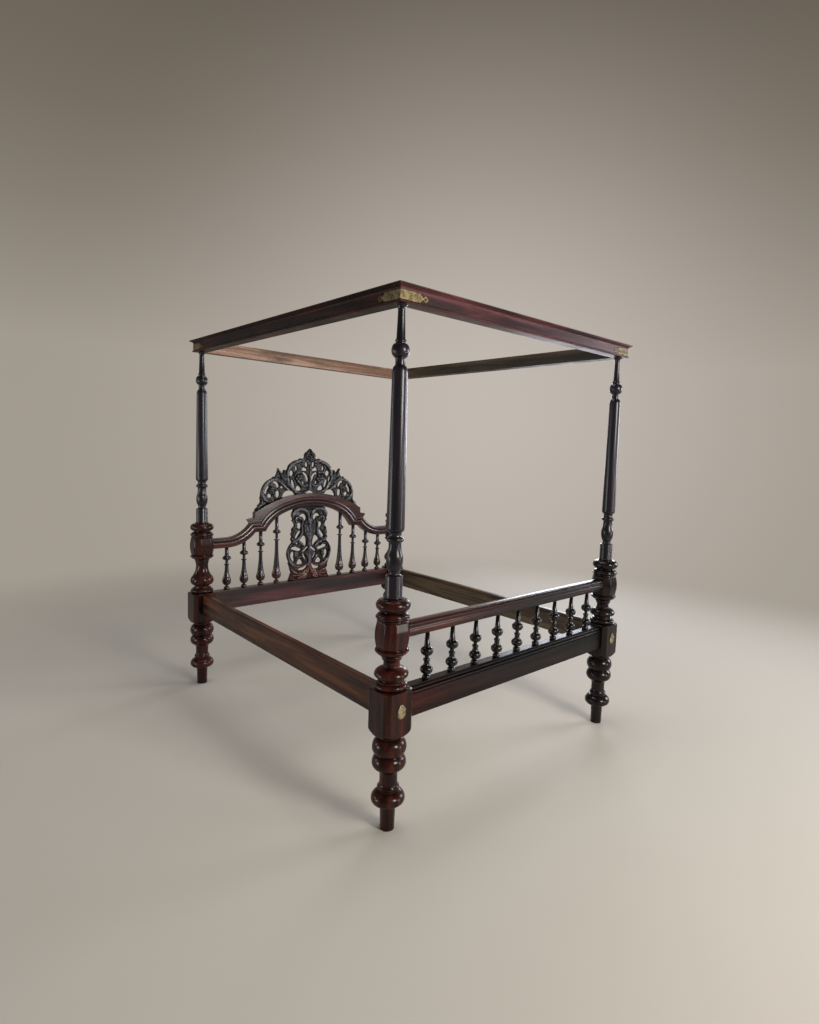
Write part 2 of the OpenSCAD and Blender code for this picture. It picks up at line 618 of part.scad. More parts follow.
// Piercings: beside the crown, round the blossom, along the stem, in the outer lobe
CREST_HOLES = [
    [[22, 190], [19, 207], [24, 224], [34, 226], [37, 208], [31, 190]],
    [[26, 162], [24, 172], [36, 180], [46, 186], [58, 180], [62, 165], [46, 160]],
    [[104, 164], [102, 180], [108, 195], [116, 194], [117, 178], [112, 162]],
    [[140, 126], [134, 142], [138, 158], [150, 162], [162, 154], [163, 138], [152, 124]],
    [[157, 84], [161, 104], [168, 122], [174, 119], [172, 100], [165, 80]],
    [[120, 42], [124, 64], [132, 88], [141, 100], [147, 90], [142, 64], [131, 40]],
    [[72, 20], [70, 32], [84, 48], [96, 54], [106, 44], [110, 28], [96, 17]],
    [[11, 90], [14, 112], [24, 134], [42, 148], [58, 150], [60, 142], [46, 134], [34, 118],
     [28, 98], [22, 84]],
    [[47, 64], [46, 76], [52, 88], [59, 84], [58, 68]],
    [[246, 44], [244, 58], [252, 74], [266, 85], [284, 84], [286, 76], [272, 68], [263, 56],
     [258, 42]],
    [[320, 60], [330, 54], [343, 34], [351, 10], [346, -2], [338, 0], [332, 22], [320, 44]],
    [[246, -24], [240, -10], [242, 14], [252, 24], [264, 16], [266, -6], [262, -22], [254, -29]],
    [[300, -20], [304, -6], [314, 0], [326, -6], [328, -18], [318, -28], [306, -28]],
    [[210, 38], [214, 48], [226, 50], [232, 44], [222, 35]]];
crest_z = apex_z + band_w + field_h;
crest_y = (field_t - crest_t) / 2;
function field_edge(x) = field_c[1] + sqrt(cover_r * cover_r - x * x);
module crest_outline() {
    difference() {
        translate([0, crest_z]) scale([crest_spread, 1]) pierced(CREST_LINE, CREST_HOLES);
        translate(field_c) circle(r = cover_r + fit, $fn = 200);
    }
}
module head_crest() {
    color(EBONISED) difference() {
        translate([0, half_l + crest_y + crest_t / 2, 0]) rotate([90, 0, 0])
            linear_extrude(crest_t) crest_outline();
        crest_dowel_set(fit);
    }
}
dowel_r = 4;
dowel_l = 28;
module crest_dowel_set(grow = 0) {
    for (x = [84 * crest_spread, 290 * crest_spread]) for (s = [-1, 1])
        translate([s * x, half_l + crest_y, field_edge(x) - dowel_l / 2 - grow])
            cylinder(r = dowel_r + grow, h = dowel_l + 2 * grow);
}
module crest_dowels() {
    color(BARE_WOOD) crest_dowel_set();
}

splat_tongue = 14;
splat_foot_w = 300;
SPLAT_TOP = 544;
module splat_tongues(h, grow = 0) {
    translate([-splat_foot_w / 2 + 20 - grow, -splat_t / 4 - grow, 0])
        cube([splat_foot_w - 40 + 2 * grow, splat_t / 2 + 2 * grow, h]);
}
module top_tongue(h, grow = 0) {
    translate([-40 - grow, -splat_t / 4 - grow, 0])
        cube([80 + 2 * grow, splat_t / 2 + 2 * grow, h]);
}
// Outline of the splat's right half over the head rail: plinth, great ring, knobs, scroll
SPLAT_LINE = [
    [0, 0], [170, 0], [158, 32], [151, 50], [146, 58], [150, 66], [156, 82], [160, 100],
    [166, 116], [171, 130], [166, 138], [174, 156], [181, 180], [182, 206], [175, 232],
    [162, 256], [148, 272], [142, 282], [150, 294], [151, 308], [144, 318], [149, 330],
    [150, 346], [143, 354], [146, 368], [140, 384], [128, 394], [126, 408], [134, 424],
    [146, 438], [137, 446], [146, 466], [148, 486], [140, 504], [132, 522], [120, 530],
    [100, 548], [0, 556]];
// Piercings: under the scroll, beside the trunk, in the great ring, over the plinth
SPLAT_HOLES = [
    [[84, 462], [74, 476], [58, 483], [40, 476], [30, 458], [32, 438], [42, 430], [48, 446],
     [58, 459], [72, 463]],
    [[76, 372], [71, 395], [76, 414], [90, 420], [101, 406], [99, 390], [88, 376]],
    [[74, 352], [82, 363], [95, 350], [108, 332], [120, 314], [116, 303], [104, 306], [88, 328]],
    [[26, 258], [27, 288], [33, 311], [46, 321], [60, 313], [74, 298], [76, 286], [62, 276],
     [48, 264], [38, 250], [30, 248]],
    [[66, 222], [82, 232], [98, 237], [112, 246], [128, 244], [144, 240], [140, 229],
     [122, 221], [98, 214], [78, 212]],
    [[93, 264], [97, 274], [106, 275], [110, 267], [104, 259]],
    [[128, 206], [140, 208], [151, 190], [149, 168], [138, 148], [126, 136], [121, 146],
     [127, 166], [125, 190]],
    [[54, 116], [58, 130], [68, 144], [80, 150], [91, 140], [99, 124], [92, 113], [74, 111]],
    [[8, 240], [16, 241], [34, 224], [52, 209], [55, 199], [44, 203], [26, 217], [11, 230]],
    [[49, 192], [55, 190], [47, 168], [36, 150], [27, 150], [35, 166], [43, 182]],
    [[18, 100], [22, 86], [36, 73], [58, 66], [77, 70], [86, 79], [70, 84], [52, 88], [36, 98],
     [26, 106]]];
module splat_outline() {
    top = apex_z - rail_top;
    intersection() {
        scale([1, top / SPLAT_TOP]) pierced(SPLAT_LINE, SPLAT_HOLES);
        translate([0, crown_c[1] - rail_top]) circle(r = arch_r - fit, $fn = 200);
    }
}
module head_splat() {
    top = apex_z - rail_top;
    color(EBONISED) translate([0, half_l, rail_top]) {
        rotate([90, 0, 0]) linear_extrude(splat_t, center = true) splat_outline();
        translate([0, 0, -splat_tongue + 1]) splat_tongues(splat_tongue);
        translate([0, 0, top - 8]) top_tongue(6 + splat_tongue);
    }
}

// ---------------------------------------------------------------- tester
// Section as [distance outside the post's axis, height]: a bead, a plain fascia, and a
// crown of cove, fillet and lip
function tester_section() =
    let (o = tester_out, c = tester_out + crown_out, h = tester_h)
    concat([[-tester_in, 0], [o + 1, 0]], arc(o + 1, 5, 5, -60, 60, 4), [[o, 11], [o, h - 24]],
        arc(o + 12, h - 24, 12, 180, 100, 4), [[o + 12, h - 9], [c - 3, h - 9]],
        arc(c - 3, h - 5, 3.5, -70, 70, 4), [[c - 6, h], [-tester_in, h]]);
module tester_bar(l) {
    along_x(l) polygon([for (p = tester_section()) [p[0], p[1]]]);
}
// Wedge that keeps a tester rail between its two mitres; the rail lies along X at y
module mitred(l, y) {
    reach = tester_out + crown_out + 10;
    intersection() {
        translate([0, y, tester_z]) tester_bar(l + 2 * reach);
        translate([0, 0, tester_z - 1]) linear_extrude(tester_h + 2)
            polygon([[l / 2 - y, 0], [l / 2 + reach, y + reach], [-l / 2 - reach, y + reach],
                [y - l / 2, 0]]);
    }
}
module tester_rail(angle, l, y) {
    color(ROSEWOOD) difference() {
        rotate([0, 0, angle]) mitred(l, y);
        tester_pin_set(fit);
        plate_screw_set(fit / 3);
    }
}
module tester_pin_set(grow = 0) {
    for (x = [-half_w, half_w]) for (y = [-half_l, half_l])
        translate([x, y, tester_z - tester_pin_l / 2 - grow])
            cylinder(r = tester_pin_r + grow, h = tester_pin_l + 2 * grow);
}
module tester_pins() {
    color(IRON) tester_pin_set();
}

// One leaf of a corner plate: a strip with a pointed end and a pierced lozenge
plate_z = tester_z + 11;
plate_head = 30;
module plate_leaf() {
    straight = plate_l - plate_head - 14;
    difference() {
        union() {
            square([straight, plate_h]);
            polygon([[straight - 1, 0], [straight + 16, plate_h / 2 - 3],
                [straight + 16, plate_h / 2 + 3], [straight - 1, plate_h]]);
            polygon([[straight + 10, plate_h / 2], [plate_l - 15, plate_h / 2 - 14],
                [plate_l, plate_h / 2], [plate_l - 15, plate_h / 2 + 14]]);
        }
        translate([plate_l - 16, plate_h / 2]) rotate(45) square(9, center = true);
    }
}
module corner_plate(end, side) {
    out = tester_out;
    color(BRASS) translate([side * (half_w + out), end * (half_l + out), plate_z])
        scale([-side, -end, 1]) difference() {
            union() {
                translate([-plate_t, 0, 0]) rotate([90, 0, 0]) linear_extrude(plate_t)
                    plate_leaf();
                translate([-plate_t, 0, 0]) rotate([0, 0, 90]) rotate([90, 0, 0])
                    linear_extrude(plate_t) plate_leaf();
            }
            plate_screw_holes();
        }
}
SCREW_AT = [16, 50, 84];
screw_r = 2;
module plate_screw_holes() {
    for (a = SCREW_AT) for (z = [plate_h / 2]) {
        translate([a, 3, z]) rotate([90, 0, 0]) cylinder(r = screw_r + fit / 3, h = 6);
        translate([-3, a, z]) rotate([0, 90, 0]) cylinder(r = screw_r + fit / 3, h = 6);
    }
}
module plate_screw(grow) {
    head_r = 4;
    rotate([90, 0, 0]) translate([0, 0, -14]) {
        cylinder(r = screw_r + grow, h = 14 + plate_t);
        if (grow == 0) translate([0, 0, 14 + plate_t]) intersection() {
            cylinder(r = head_r, h = 2);
            translate([0, 0, -3.5]) sphere(r = 5.3);
        }
    }
}
module plate_screw_set(grow = 0) {
    for (end = [-1, 1]) for (side = [-1, 1]) for (a = SCREW_AT)
        translate([side * (half_w + tester_out), end * (half_l + tester_out), plate_z + plate_h / 2]) {
            translate([-side * a, 0, 0]) rotate([0, 0, end > 0 ? 180 : 0]) plate_screw(grow);
            translate([0, -end * a, 0]) rotate([0, 0, side > 0 ? 90 : -90]) plate_screw(grow);
        }
}
module corner_plate_screws() {
    color(BRASS) plate_screw_set();
}

// ---------------------------------------------------------------- fittings
nut_w = 20;
nut_t = 9;
washer_t = 2;
bolt_head_h = 8;
module at_bolts() {
    for (end = [-1, 1]) for (side = [-1, 1])
        translate([side * half_w, end * (half_l + block_w / 2), bolt_z]) rotate([end * 90, 0, 0])
            children();
}
// A bolt lies along +Z here, from the joint block's face inwards
module bed_bolts() {
    color(IRON) at_bolts() {
        translate([0, 0, bolt_sink - washer_t - bolt_head_h])
            cylinder(r = bolt_head_r - 1, h = bolt_head_h, $fn = 6);
        translate([0, 0, bolt_sink - washer_t])
            cylinder(r = bolt_r, h = block_w - bolt_sink + washer_t + bolt_grip);
    }
}
module bolt_washers() {
    color(IRON) at_bolts() translate([0, 0, bolt_sink - washer_t]) difference() {
        cylinder(r = bolt_head_r, h = washer_t);
        translate([0, 0, -1]) cylinder(r = bolt_r, h = washer_t + 2);
    }
}
module bolt_nuts() {
    color(IRON) at_bolts() translate([0, 0, block_w + bolt_grip - 6 - nut_t]) difference() {
        translate([-nut_w / 2, -nut_w / 2, 0]) cube([nut_w, nut_w, nut_t]);
        translate([0, 0, -1]) cylinder(r = bolt_r, h = nut_t + 2);
    }
}

// The covers hang on the joint blocks' end faces, over the bolts
cover_pin_z = bolt_z + cover_h / 2 - 7;
cover_pin_l = 16;
cover_gap = 0.3;
// Egg outline, its narrow end up, drawn about the pin
module egg() {
    low = cover_w / 2;
    high = cover_w / 3.4;
    rise = cover_h - low - high;
    d = (low - high) / rise;
    t = [sqrt(1 - d * d), d];
    polygon(concat(
        [for (i = [0:18]) let (a = asin(d) - (180 + 2 * asin(d)) * i / 18)
            [low * cos(a), 7 - cover_h + low + low * sin(a)]],
        [for (i = [0:12]) let (a = 180 - asin(d) - (180 - 2 * asin(d)) * i / 12)
            [high * cos(a), 7 - high + high * sin(a)]]));
}
module bolt_cover(end, side) {
    color(BRASS) translate([side * half_w, end * (half_l + block_w / 2 + cover_gap), cover_pin_z])
        rotate([90, 0, 0]) translate([0, 0, end > 0 ? -cover_t : 0]) difference() {
            linear_extrude(cover_t) egg();
            translate([0, 0, -1]) cylinder(r = cover_pin_r + cover_play, h = cover_t + 2);
        }
}
module cover_pins() {
    color(BRASS) for (end = [-1, 1]) for (side = [-1, 1])
        translate([side * half_w, end * (half_l + block_w / 2), cover_pin_z])
            rotate([-end * 90, 0, 0]) {
                translate([0, 0, -cover_pin_l]) cylinder(r = cover_pin_r, h = cover_pin_l + 3.5);
                translate([0, 0, cover_t + 2 * cover_gap]) intersection() {
                    cylinder(r = 4.5, h = 3);
                    translate([0, 0, -3.2]) sphere(r = 5.6);
                }
            }
}

// ---------------------------------------------------------------- drawing
for (e = ENDS) for (s = SIDES) {
    lower_post(e[1], s[1]);
    upper_post(e[1], s[1]);
    corner_plate(e[1], s[1]);
    bolt_cover(e[1], s[1]);
}
for (s = SIDES)
    side_rail(s[1]);
head_rail();
foot_rail();
foot_top_rail();
head_top_rail();
head_splat();
head_crest();
crest_dowels();
for (i = [1:foot_spindles])
    foot_spindle(i);
for (i = [1:2 * head_spindles])
    head_spindle(i);
tester_rail(180, post_gap_w, half_l);  // tester_rail_foot
tester_rail(0, post_gap_w, half_l);  // tester_rail_head
tester_rail(90, post_gap_l, half_w);  // tester_rail_left
tester_rail(-90, post_gap_l, half_w);  // tester_rail_right
tester_pins();
corner_plate_screws();
bed_bolts();
bolt_washers();
bolt_nuts();
cover_pins();
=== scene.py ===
"""Looks of a four-poster bed in dark rosewood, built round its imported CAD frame.
Metres, +Z up, the head of the bed at +Y."""

import json
import math

import bmesh
import bpy
import numpy as np
from mathutils import Matrix, Vector


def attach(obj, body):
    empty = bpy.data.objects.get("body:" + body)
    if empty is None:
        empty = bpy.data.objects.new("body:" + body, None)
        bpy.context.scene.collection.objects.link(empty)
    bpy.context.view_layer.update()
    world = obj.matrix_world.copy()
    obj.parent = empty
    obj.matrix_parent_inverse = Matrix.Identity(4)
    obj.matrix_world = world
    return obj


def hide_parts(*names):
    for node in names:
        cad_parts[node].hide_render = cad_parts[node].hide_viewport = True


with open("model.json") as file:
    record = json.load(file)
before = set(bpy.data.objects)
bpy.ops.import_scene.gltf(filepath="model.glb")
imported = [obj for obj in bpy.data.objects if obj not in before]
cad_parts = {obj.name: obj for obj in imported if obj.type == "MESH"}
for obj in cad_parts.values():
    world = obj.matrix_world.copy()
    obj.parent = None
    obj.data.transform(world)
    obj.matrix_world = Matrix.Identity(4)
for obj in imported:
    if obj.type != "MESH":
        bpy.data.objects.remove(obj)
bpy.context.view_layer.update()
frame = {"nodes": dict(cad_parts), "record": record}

MM = 0.001

# Sizes from here on are in millimetres, and the main ones are the CAD part's
POST_X, POST_Y = 785, 1000  # post axes from the middle of the bed
BLOCK_HALF, BLOCK_H, BARREL_H = 73, 200, 112
RAIL_TOP, TESTER_Z = 602, 2141  # top of the bottom rails, underside of the tester
BOLT_Z = 528

# The bed's corners as (end, side): -1 is the foot and the left, 1 the head and the right
CORNERS = [(end, side) for end in (-1, 1) for side in (-1, 1)]


def corner_name(piece, end, side):
    """The CAD node's name of a piece that each corner has one of."""
    return f"{piece}_{'head' if end > 0 else 'foot'}_{'right' if side > 0 else 'left'}"


# ---------------------------------------------------------------- materials
def linear(colour):
    """An sRGB hex colour as linear RGBA."""
    rgb = [int(colour[i : i + 2], 16) / 255 for i in (1, 3, 5)]
    return (*(c / 12.92 if c <= 0.04045 else ((c + 0.055) / 1.055) ** 2.4 for c in rgb), 1.0)


def node(tree, kind, inputs=(), stops=(), **settings):
    """Adds a node. inputs maps sockets to values or to other nodes' outputs, stops are a ramp's."""
    made = tree.nodes.new("ShaderNode" + kind)
    for key, value in settings.items():
        setattr(made, key, value)
    for key, value in dict(inputs).items():
        if isinstance(value, bpy.types.NodeSocket):
            tree.links.new(value, made.inputs[key])
        else:
            made.inputs[key].default_value = value
    if stops:
        ramp = made.color_ramp
        while len(ramp.elements) < len(stops):
            ramp.elements.new(0.5)
        for element, (at, value) in zip(ramp.elements, stops):
            element.position = at
            element.color = linear(value) if isinstance(value, str) else (value, value, value, 1)
    return made


def blank(name):
    """An empty material with its tree and its shader, wired to the output."""
    material = bpy.data.materials.new(name)
    material.use_nodes = True
    tree = material.node_tree
    tree.nodes.clear()
    shader = node(tree, "BsdfPrincipled")
    node(tree, "OutputMaterial", {"Surface": shader.outputs[0]})
    return material, tree, shader


# Turns one of the bed's axes into the patterns' Z, along which the grain runs
TURN = {"X": (0, -math.pi / 2, 0), "Y": (math.pi / 2, 0, 0), "Z": (0, 0, 0)}
# Where the four tones of a wood lie in the noise of its streaks
TONES_AT = (0.33, 0.45, 0.56, 0.7)


def grained(tree, place, grain, tones, fade):
    """Streaks, growth lines and pores along an axis. Gives their colour, the pores' noise and how far the
    wood has gone over into fade's tones."""
    along = node(tree, "Mapping", {"Vector": place, "Rotation": TURN[grain]}).outputs[0]
    # heartwood streaks, 30 to 60 mm wide and most of a metre long
    stretched = node(tree, "Mapping", {"Vector": along, "Scale": (21, 21, 1.3)}).outputs[0]
    streaks = node(tree, "TexNoise", {"Vector": stretched, "Scale": 1.0, "Detail": 3.0, "Roughness": 0.55,
                                      "Distortion": 0.9}).outputs
    # growth lines 7 mm apart, pushed about by the streaks
    warp = node(tree, "VectorMath", {0: stretched, 1: streaks["Color"]}, operation="ADD")
    lines = node(tree, "TexWave", {"Vector": warp.outputs[0], "Scale": 2.2, "Distortion": 2.5, "Detail": 2.0,
                                   "Detail Scale": 1.5, "Detail Roughness": 0.6},
                 wave_type="BANDS", bands_direction="X", wave_profile="SIN")
    line_shade = node(tree, "ValToRGB", {"Fac": lines.outputs["Fac"]}, stops=((0.1, 0.35), (0.6, 1.0)))
    # pores, drawn 1.2 mm wide where real ones are 0.2 mm, so that they show
    fine = node(tree, "Mapping", {"Vector": along, "Scale": (820, 820, 22)}).outputs[0]
    pores = node(tree, "TexNoise", {"Vector": fine, "Scale": 1.0, "Detail": 2.0, "Roughness": 0.5})
    pore_shade = node(tree, "ValToRGB", {"Fac": pores.outputs["Fac"]}, stops=((0.36, 0.0), (0.5, 1.0)))
    body = node(tree, "ValToRGB", {"Fac": streaks["Fac"]}, stops=tuple(zip(TONES_AT, tones))).outputs[0]
    gone = None
    if fade:
        # the wood goes over into other tones along an axis of the bed, unevenly, as the streaks run: along X
        # that is painted shade, darker towards the bed's right, along Z the wood's own change of tone
        axis, start, end, others, most = fade
        where = node(tree, "SeparateXYZ", {0: place}).outputs[axis]
        uneven = node(tree, "Math", {0: streaks["Fac"], 1: 0.3 * (end - start), 2: where},
                      operation="MULTIPLY_ADD")
        gone = node(tree, "MapRange", {"Value": uneven.outputs[0], "From Min": start, "From Max": end,
                                       "To Max": most}, interpolation_type="SMOOTHSTEP").outputs[0]
        second = node(tree, "ValToRGB", {"Fac": streaks["Fac"]}, stops=tuple(zip(TONES_AT, others)))
        body = node(tree, "Mix", {0: gone, 6: body, 7: second.outputs[0]}, data_type="RGBA").outputs[2]
    lined = node(tree, "Mix", {0: 0.38, 6: body, 7: line_shade.outputs[0]},
                 data_type="RGBA", blend_type="MULTIPLY")
    pored = node(tree, "Mix", {0: 0.35, 6: lined.outputs[2], 7: pore_shade.outputs[0]},
                 data_type="RGBA", blend_type="MULTIPLY")
    return pored.outputs[2], pores.outputs["Fac"], gone


def rubbed_and_highlit_heights(tree, place, colour, pale):
    """Lays a pale colour on a carving's heights, where dusting has rubbed the finish thin, and which also
    stands as a painted highlight on them.
    """
    height = node(tree, "Attribute", attribute_name="height").outputs["Fac"]
    top = node(tree, "ValToRGB", {"Fac": height}, stops=((0.72, 0.0), (0.98, 1.0)))
    # in patches some 15 mm wide
    patches = node(tree, "TexNoise", {"Vector": place, "Scale": 60.0, "Detail": 2.0, "Roughness": 0.5})
    worn_and_highlit = node(tree, "ValToRGB", {"Fac": patches.outputs["Fac"]}, stops=((0.4, 0.25), (0.58, 1.0)))
    amount = node(tree, "Math", {0: top.outputs[0], 1: worn_and_highlit.outputs[0]}, operation="MULTIPLY")
    return node(tree, "Mix", {0: amount.outputs[0], 6: colour, 7: pale}, data_type="RGBA").outputs[2]


def soiled_and_shaded(tree, place, colour, soil_and_shade, stains, grime_and_shade):
    """Lays soil on a colour, up to so much in stains, and the same dark colour up to so much in the hollows,
    as dust and as painted shade.
    """
    if stains:
        # broad patches, up to 400 mm across, where damp and smoke got into the open pores
        damp = node(tree, "TexNoise", {"Vector": place, "Scale": 2.6, "Detail": 4.0, "Roughness": 0.6})
        spread = node(tree, "ValToRGB", {"Fac": damp.outputs["Fac"]}, stops=((0.54, 0.0), (0.66, stains)))
        colour = node(tree, "Mix", {0: spread.outputs[0], 6: colour, 7: soil_and_shade}, data_type="RGBA").outputs[2]
    if grime_and_shade:
        # dust and old wax, and painted shade, darken the quirks and the hollows of some 14 mm that the
        # occlusion finds
        hollow = node(tree, "AmbientOcclusion", {"Distance": 0.014}, samples=6)
        shade = node(tree, "ValToRGB", {"Fac": hollow.outputs["AO"]}, stops=((0.3, 1.0), (0.92, 0.0)))
        amount = node(tree, "Math", {0: shade.outputs[0], 1: grime_and_shade}, operation="MULTIPLY")
        colour = node(tree, "Mix", {0: amount.outputs[0], 6: colour, 7: soil_and_shade}, data_type="RGBA").outputs[2]
    return colour


def wood(name, grain, tones, rough, coat, coat_rough, bump=0.18, grime_and_shade=0.0, soil_and_shade="#0c0908", fade=None,
         stains=0.0, rubbed_and_highlit=None):
    """Hardwood whose grain runs along an axis. tones go from the dark streaks to the light wood. fade is an
    axis, the two places on it between which the wood goes over into other tones, those tones, and how much
    of them comes; along X these tones are painted shade, along Z the wood's own. The rubbed colours are
    those of a carving's heights on either side of that, as wear and as a painted highlight."""
    material, tree, shader = blank(name)
    place = node(tree, "TexCoord").outputs["Object"]
    colour, pores, gone = grained(tree, place, grain, tones, fade)
    if rubbed_and_highlit:
        pale = node(tree, "Mix", {0: gone, 6: linear(rubbed_and_highlit[0]), 7: linear(rubbed_and_highlit[1])}, data_type="RGBA")
        colour = rubbed_and_highlit_heights(tree, place, colour, pale.outputs[2])
    colour = soiled_and_shaded(tree, place, colour, linear(soil_and_shade), stains, grime_and_shade)
    tree.links.new(colour, shader.inputs["Base Color"])
    # hand-sized clouds where the polish is duller or brighter
    clouds = node(tree, "TexNoise", {"Vector": place, "Scale": 7.0, "Detail": 3.0, "Roughness": 0.6})
    roughness = node(tree, "MapRange", {"Value": clouds.outputs["Fac"], "From Min": 0.3, "From Max": 0.7,
                                        "To Min": rough - 0.08, "To Max": rough + 0.1})
    tree.links.new(roughness.outputs[0], shader.inputs["Roughness"])
    shader.inputs["IOR"].default_value = 1.5
    # wood that is wet with polish has hardly a gloss of its own under the film
    shader.inputs["Specular IOR Level"].default_value = 0.1 if coat else 0.4
    shader.inputs["Coat Weight"].default_value = coat
    shader.inputs["Coat Roughness"].default_value = coat_rough
    height = node(tree, "Mix", {0: 0.6, 2: clouds.outputs["Fac"], 3: pores})
    relief = node(tree, "Bump", {"Strength": bump, "Distance": 0.0006, "Height": height.outputs[0]})
    tree.links.new(relief.outputs[0], shader.inputs["Normal"])
    return material


# Rosewood, turned and French polished: red-brown with near-black streaks, a deep gloss worn satin
RED = ("#170a08", "#28110d", "#3d1913", "#53251c")
# The same wood, ebonised by age and smoke: almost black with a purple cast
BLACK = ("#100d14", "#18141d", "#221d28", "#2d2733")
# Side rails: brown, less red
BROWN = ("#1a0e08", "#331c10", "#512c18", "#6b3f22")
# Reeded arch: purple-red under wax
REEDED = ("#1c0e0f", "#2e1617", "#432120", "#5a2f2e")
# Carved parts: waxed, almost black. Each carving's material lays its own pale colours on the heights, as
# wear and as a painted highlight
CARVED = ("#050506", "#0a0a0c", "#111114", "#1b1b20")
# Ebonised and polished: black, with a breath of red in its lightest streaks. The same tones are the painted
# shade that darkens posts and rails across towards the bed's right
EBON_AND_SHADE = ("#08080a", "#0e0d0e", "#161313", "#211717")
# Wood never polished: pale brown, dry and matt
RAW = ("#6b5040", "#8a6a57", "#a88673", "#bd9c86")
# Inner faces, never polished but darkened by smoke and handling: olive brown, dull
OLIVE = ("#211a12", "#33291c", "#473a28", "#574833")
# The same under dust: paler and drier
DUSTY = ("#33281b", "#4b3c29", "#62513a", "#766349")
# Tester and head rail: more purple, the polish gone thin
PLUM = ("#1c0d0f", "#34191a", "#51292b", "#6e3d3f")

# Each wood's grain, tones, roughness, and the weight and roughness of its film of polish
# the posts go over into near-black towards the bed's right: painted shade
post_wood = wood("rosewood_turned_posts", "Z", RED, 0.30, 0.3, 0.12, grime_and_shade=0.8,
                 fade=("X", -0.5, 0.7, EBON_AND_SHADE, 0.9))
shaft_wood = wood("rosewood_turned_ebonised", "Z", BLACK, 0.36, 0.6, 0.24, bump=0.05, grime_and_shade=0.6)
ebon_spindle = wood("rosewood_foot_spindles", "Z", EBON_AND_SHADE, 0.30, 0.6, 0.14, bump=0.05, grime_and_shade=0.6)
spindle_wood = wood("rosewood_head_spindles", "Z", RED, 0.30, 1.0, 0.2, grime_and_shade=0.6,
                    fade=("Z", 0.66, 0.76, BLACK, 1.0))
# the rails across darken towards the bed's right in the same way: painted shade
rail_x = wood("rosewood_rails_across", "X", RED, 0.36, 0.6, 0.22, grime_and_shade=0.6,
              fade=("X", -0.5, 0.4, EBON_AND_SHADE, 0.85))
foot_x = wood("rosewood_foot_rail", "X", RED, 0.40, 0.18, 0.25, grime_and_shade=0.6,
              fade=("X", -0.7, -0.1, EBON_AND_SHADE, 0.95))
head_x = wood("rosewood_head_rail", "X", PLUM, 0.42, 0.8, 0.32, grime_and_shade=0.6,
              fade=("X", -0.5, 0.4, EBON_AND_SHADE, 0.4))
rail_y = wood("rosewood_rails_along", "Y", BROWN, 0.40, 0.28, 0.28, grime_and_shade=0.6)
tester_x = wood("rosewood_tester_across", "X", PLUM, 0.45, 0.35, 0.35, grime_and_shade=0.6)
tester_y = wood("rosewood_tester_along", "Y", RED, 0.5, 0.12, 0.35, grime_and_shade=0.6)
reed_x = wood("rosewood_reeded_arch", "X", REEDED, 0.34, 1.0, 0.2, grime_and_shade=1.0)
# the carvings' pale heights are wear and painted highlight, their dark hollows dust and painted shade
crest_wood = wood("rosewood_carved_crest", "X", RED, 0.36, 0.8, 0.16, grime_and_shade=1.0,
                  fade=("Z", 1.0, 1.1, CARVED, 1.0), rubbed_and_highlit=("#80544c", "#74747e"))
splat_wood = wood("rosewood_carved_splat", "Z", RED, 0.36, 0.8, 0.16, grime_and_shade=1.0,
                  fade=("Z", 0.68, 0.76, CARVED, 1.0), rubbed_and_highlit=("#8c564d", "#6a6a73"))
raw_x = wood("rosewood_unpolished", "X", RAW, 0.72, 0.0, 0.3, stains=0.7, soil_and_shade="#33302f")
smoked_y = wood("rosewood_smoked_inside", "Y", OLIVE, 0.6, 0.0, 0.3, stains=0.5)
dusty_y = wood("rosewood_dusty_inside", "Y", DUSTY, 0.6, 0.0, 0.3, stains=0.4)


def metal(name, clean, dull, rough):
    """Old metal, dulled by patina in soft patches some 20 mm wide."""
    material, tree, shader = blank(name)
    place = node(tree, "TexCoord").outputs["Object"]
    patches = node(tree, "TexNoise", {"Vector": place, "Scale": 55.0, "Detail": 5.0, "Roughness": 0.65})
    mask = node(tree, "ValToRGB", {"Fac": patches.outputs["Fac"]}, stops=((0.38, 0.0), (0.64, 1.0)))
    colour = node(tree, "Mix", {0: mask.outputs[0], 6: linear(clean), 7: linear(dull)}, data_type="RGBA")
    tree.links.new(colour.outputs[2], shader.inputs["Base Color"])
    roughness = node(tree, "MapRange", {"Value": patches.outputs["Fac"], "To Min": rough - 0.1,
                                        "To Max": rough + 0.2})
    tree.links.new(roughness.outputs[0], shader.inputs["Roughness"])
    shader.inputs["Metallic"].default_value = 1.0
    # hammer and file marks, about 3 mm apart
    marks = node(tree, "TexNoise", {"Vector": place, "Scale": 320.0, "Detail": 2.0})
    relief = node(tree, "Bump", {"Strength": 0.2, "Distance": 0.0003, "Height": marks.outputs["Fac"]})
    tree.links.new(relief.outputs[0], shader.inputs["Normal"])
    return material


# Sheet brass, cut and filed, gone olive-brown in the air
brass = metal("brass_tarnished", "#85785a", "#564d36", 0.52)
# The same brass, thin and pressed, kept paler by hands
cover_brass = metal("brass_pressed_pale", "#b3a88c", "#75694c", 0.42)
# Forged iron, blackened
iron = metal("iron_blackened", "#5a5550", "#3a342f", 0.6)


# ---------------------------------------------------------------- pieces
SLOTS = {s["node"]: s["material_slot"] for s in frame["record"]["subparts"]}
# Edges sharper than so many degrees stay sharp on rails and plates, on turnings, and on carved and
# pressed pieces
RAIL_ANGLE, TURNED_ANGLE, CARVED_ANGLE = 34, 38, 50


def make_piece(bm, name, material, replaced, sharp_angle, body="bed_frame"):
    """Makes a piece in place of a CAD node, smooth but for edges sharper than so many degrees."""
    for face in bm.faces:
        face.smooth = True
    for edge in bm.edges:
        edge.smooth = len(edge.link_faces) != 2 or edge.calc_face_angle(0) < math.radians(sharp_angle)
    mesh = bpy.data.meshes.new(name)
    bm.to_mesh(mesh)
    bm.free()
    mesh.materials.append(material)
    piece = bpy.data.objects.new(name, mesh)
    bpy.context.scene.collection.objects.link(piece)
    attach(piece, body)
    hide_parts(replaced)
    return piece


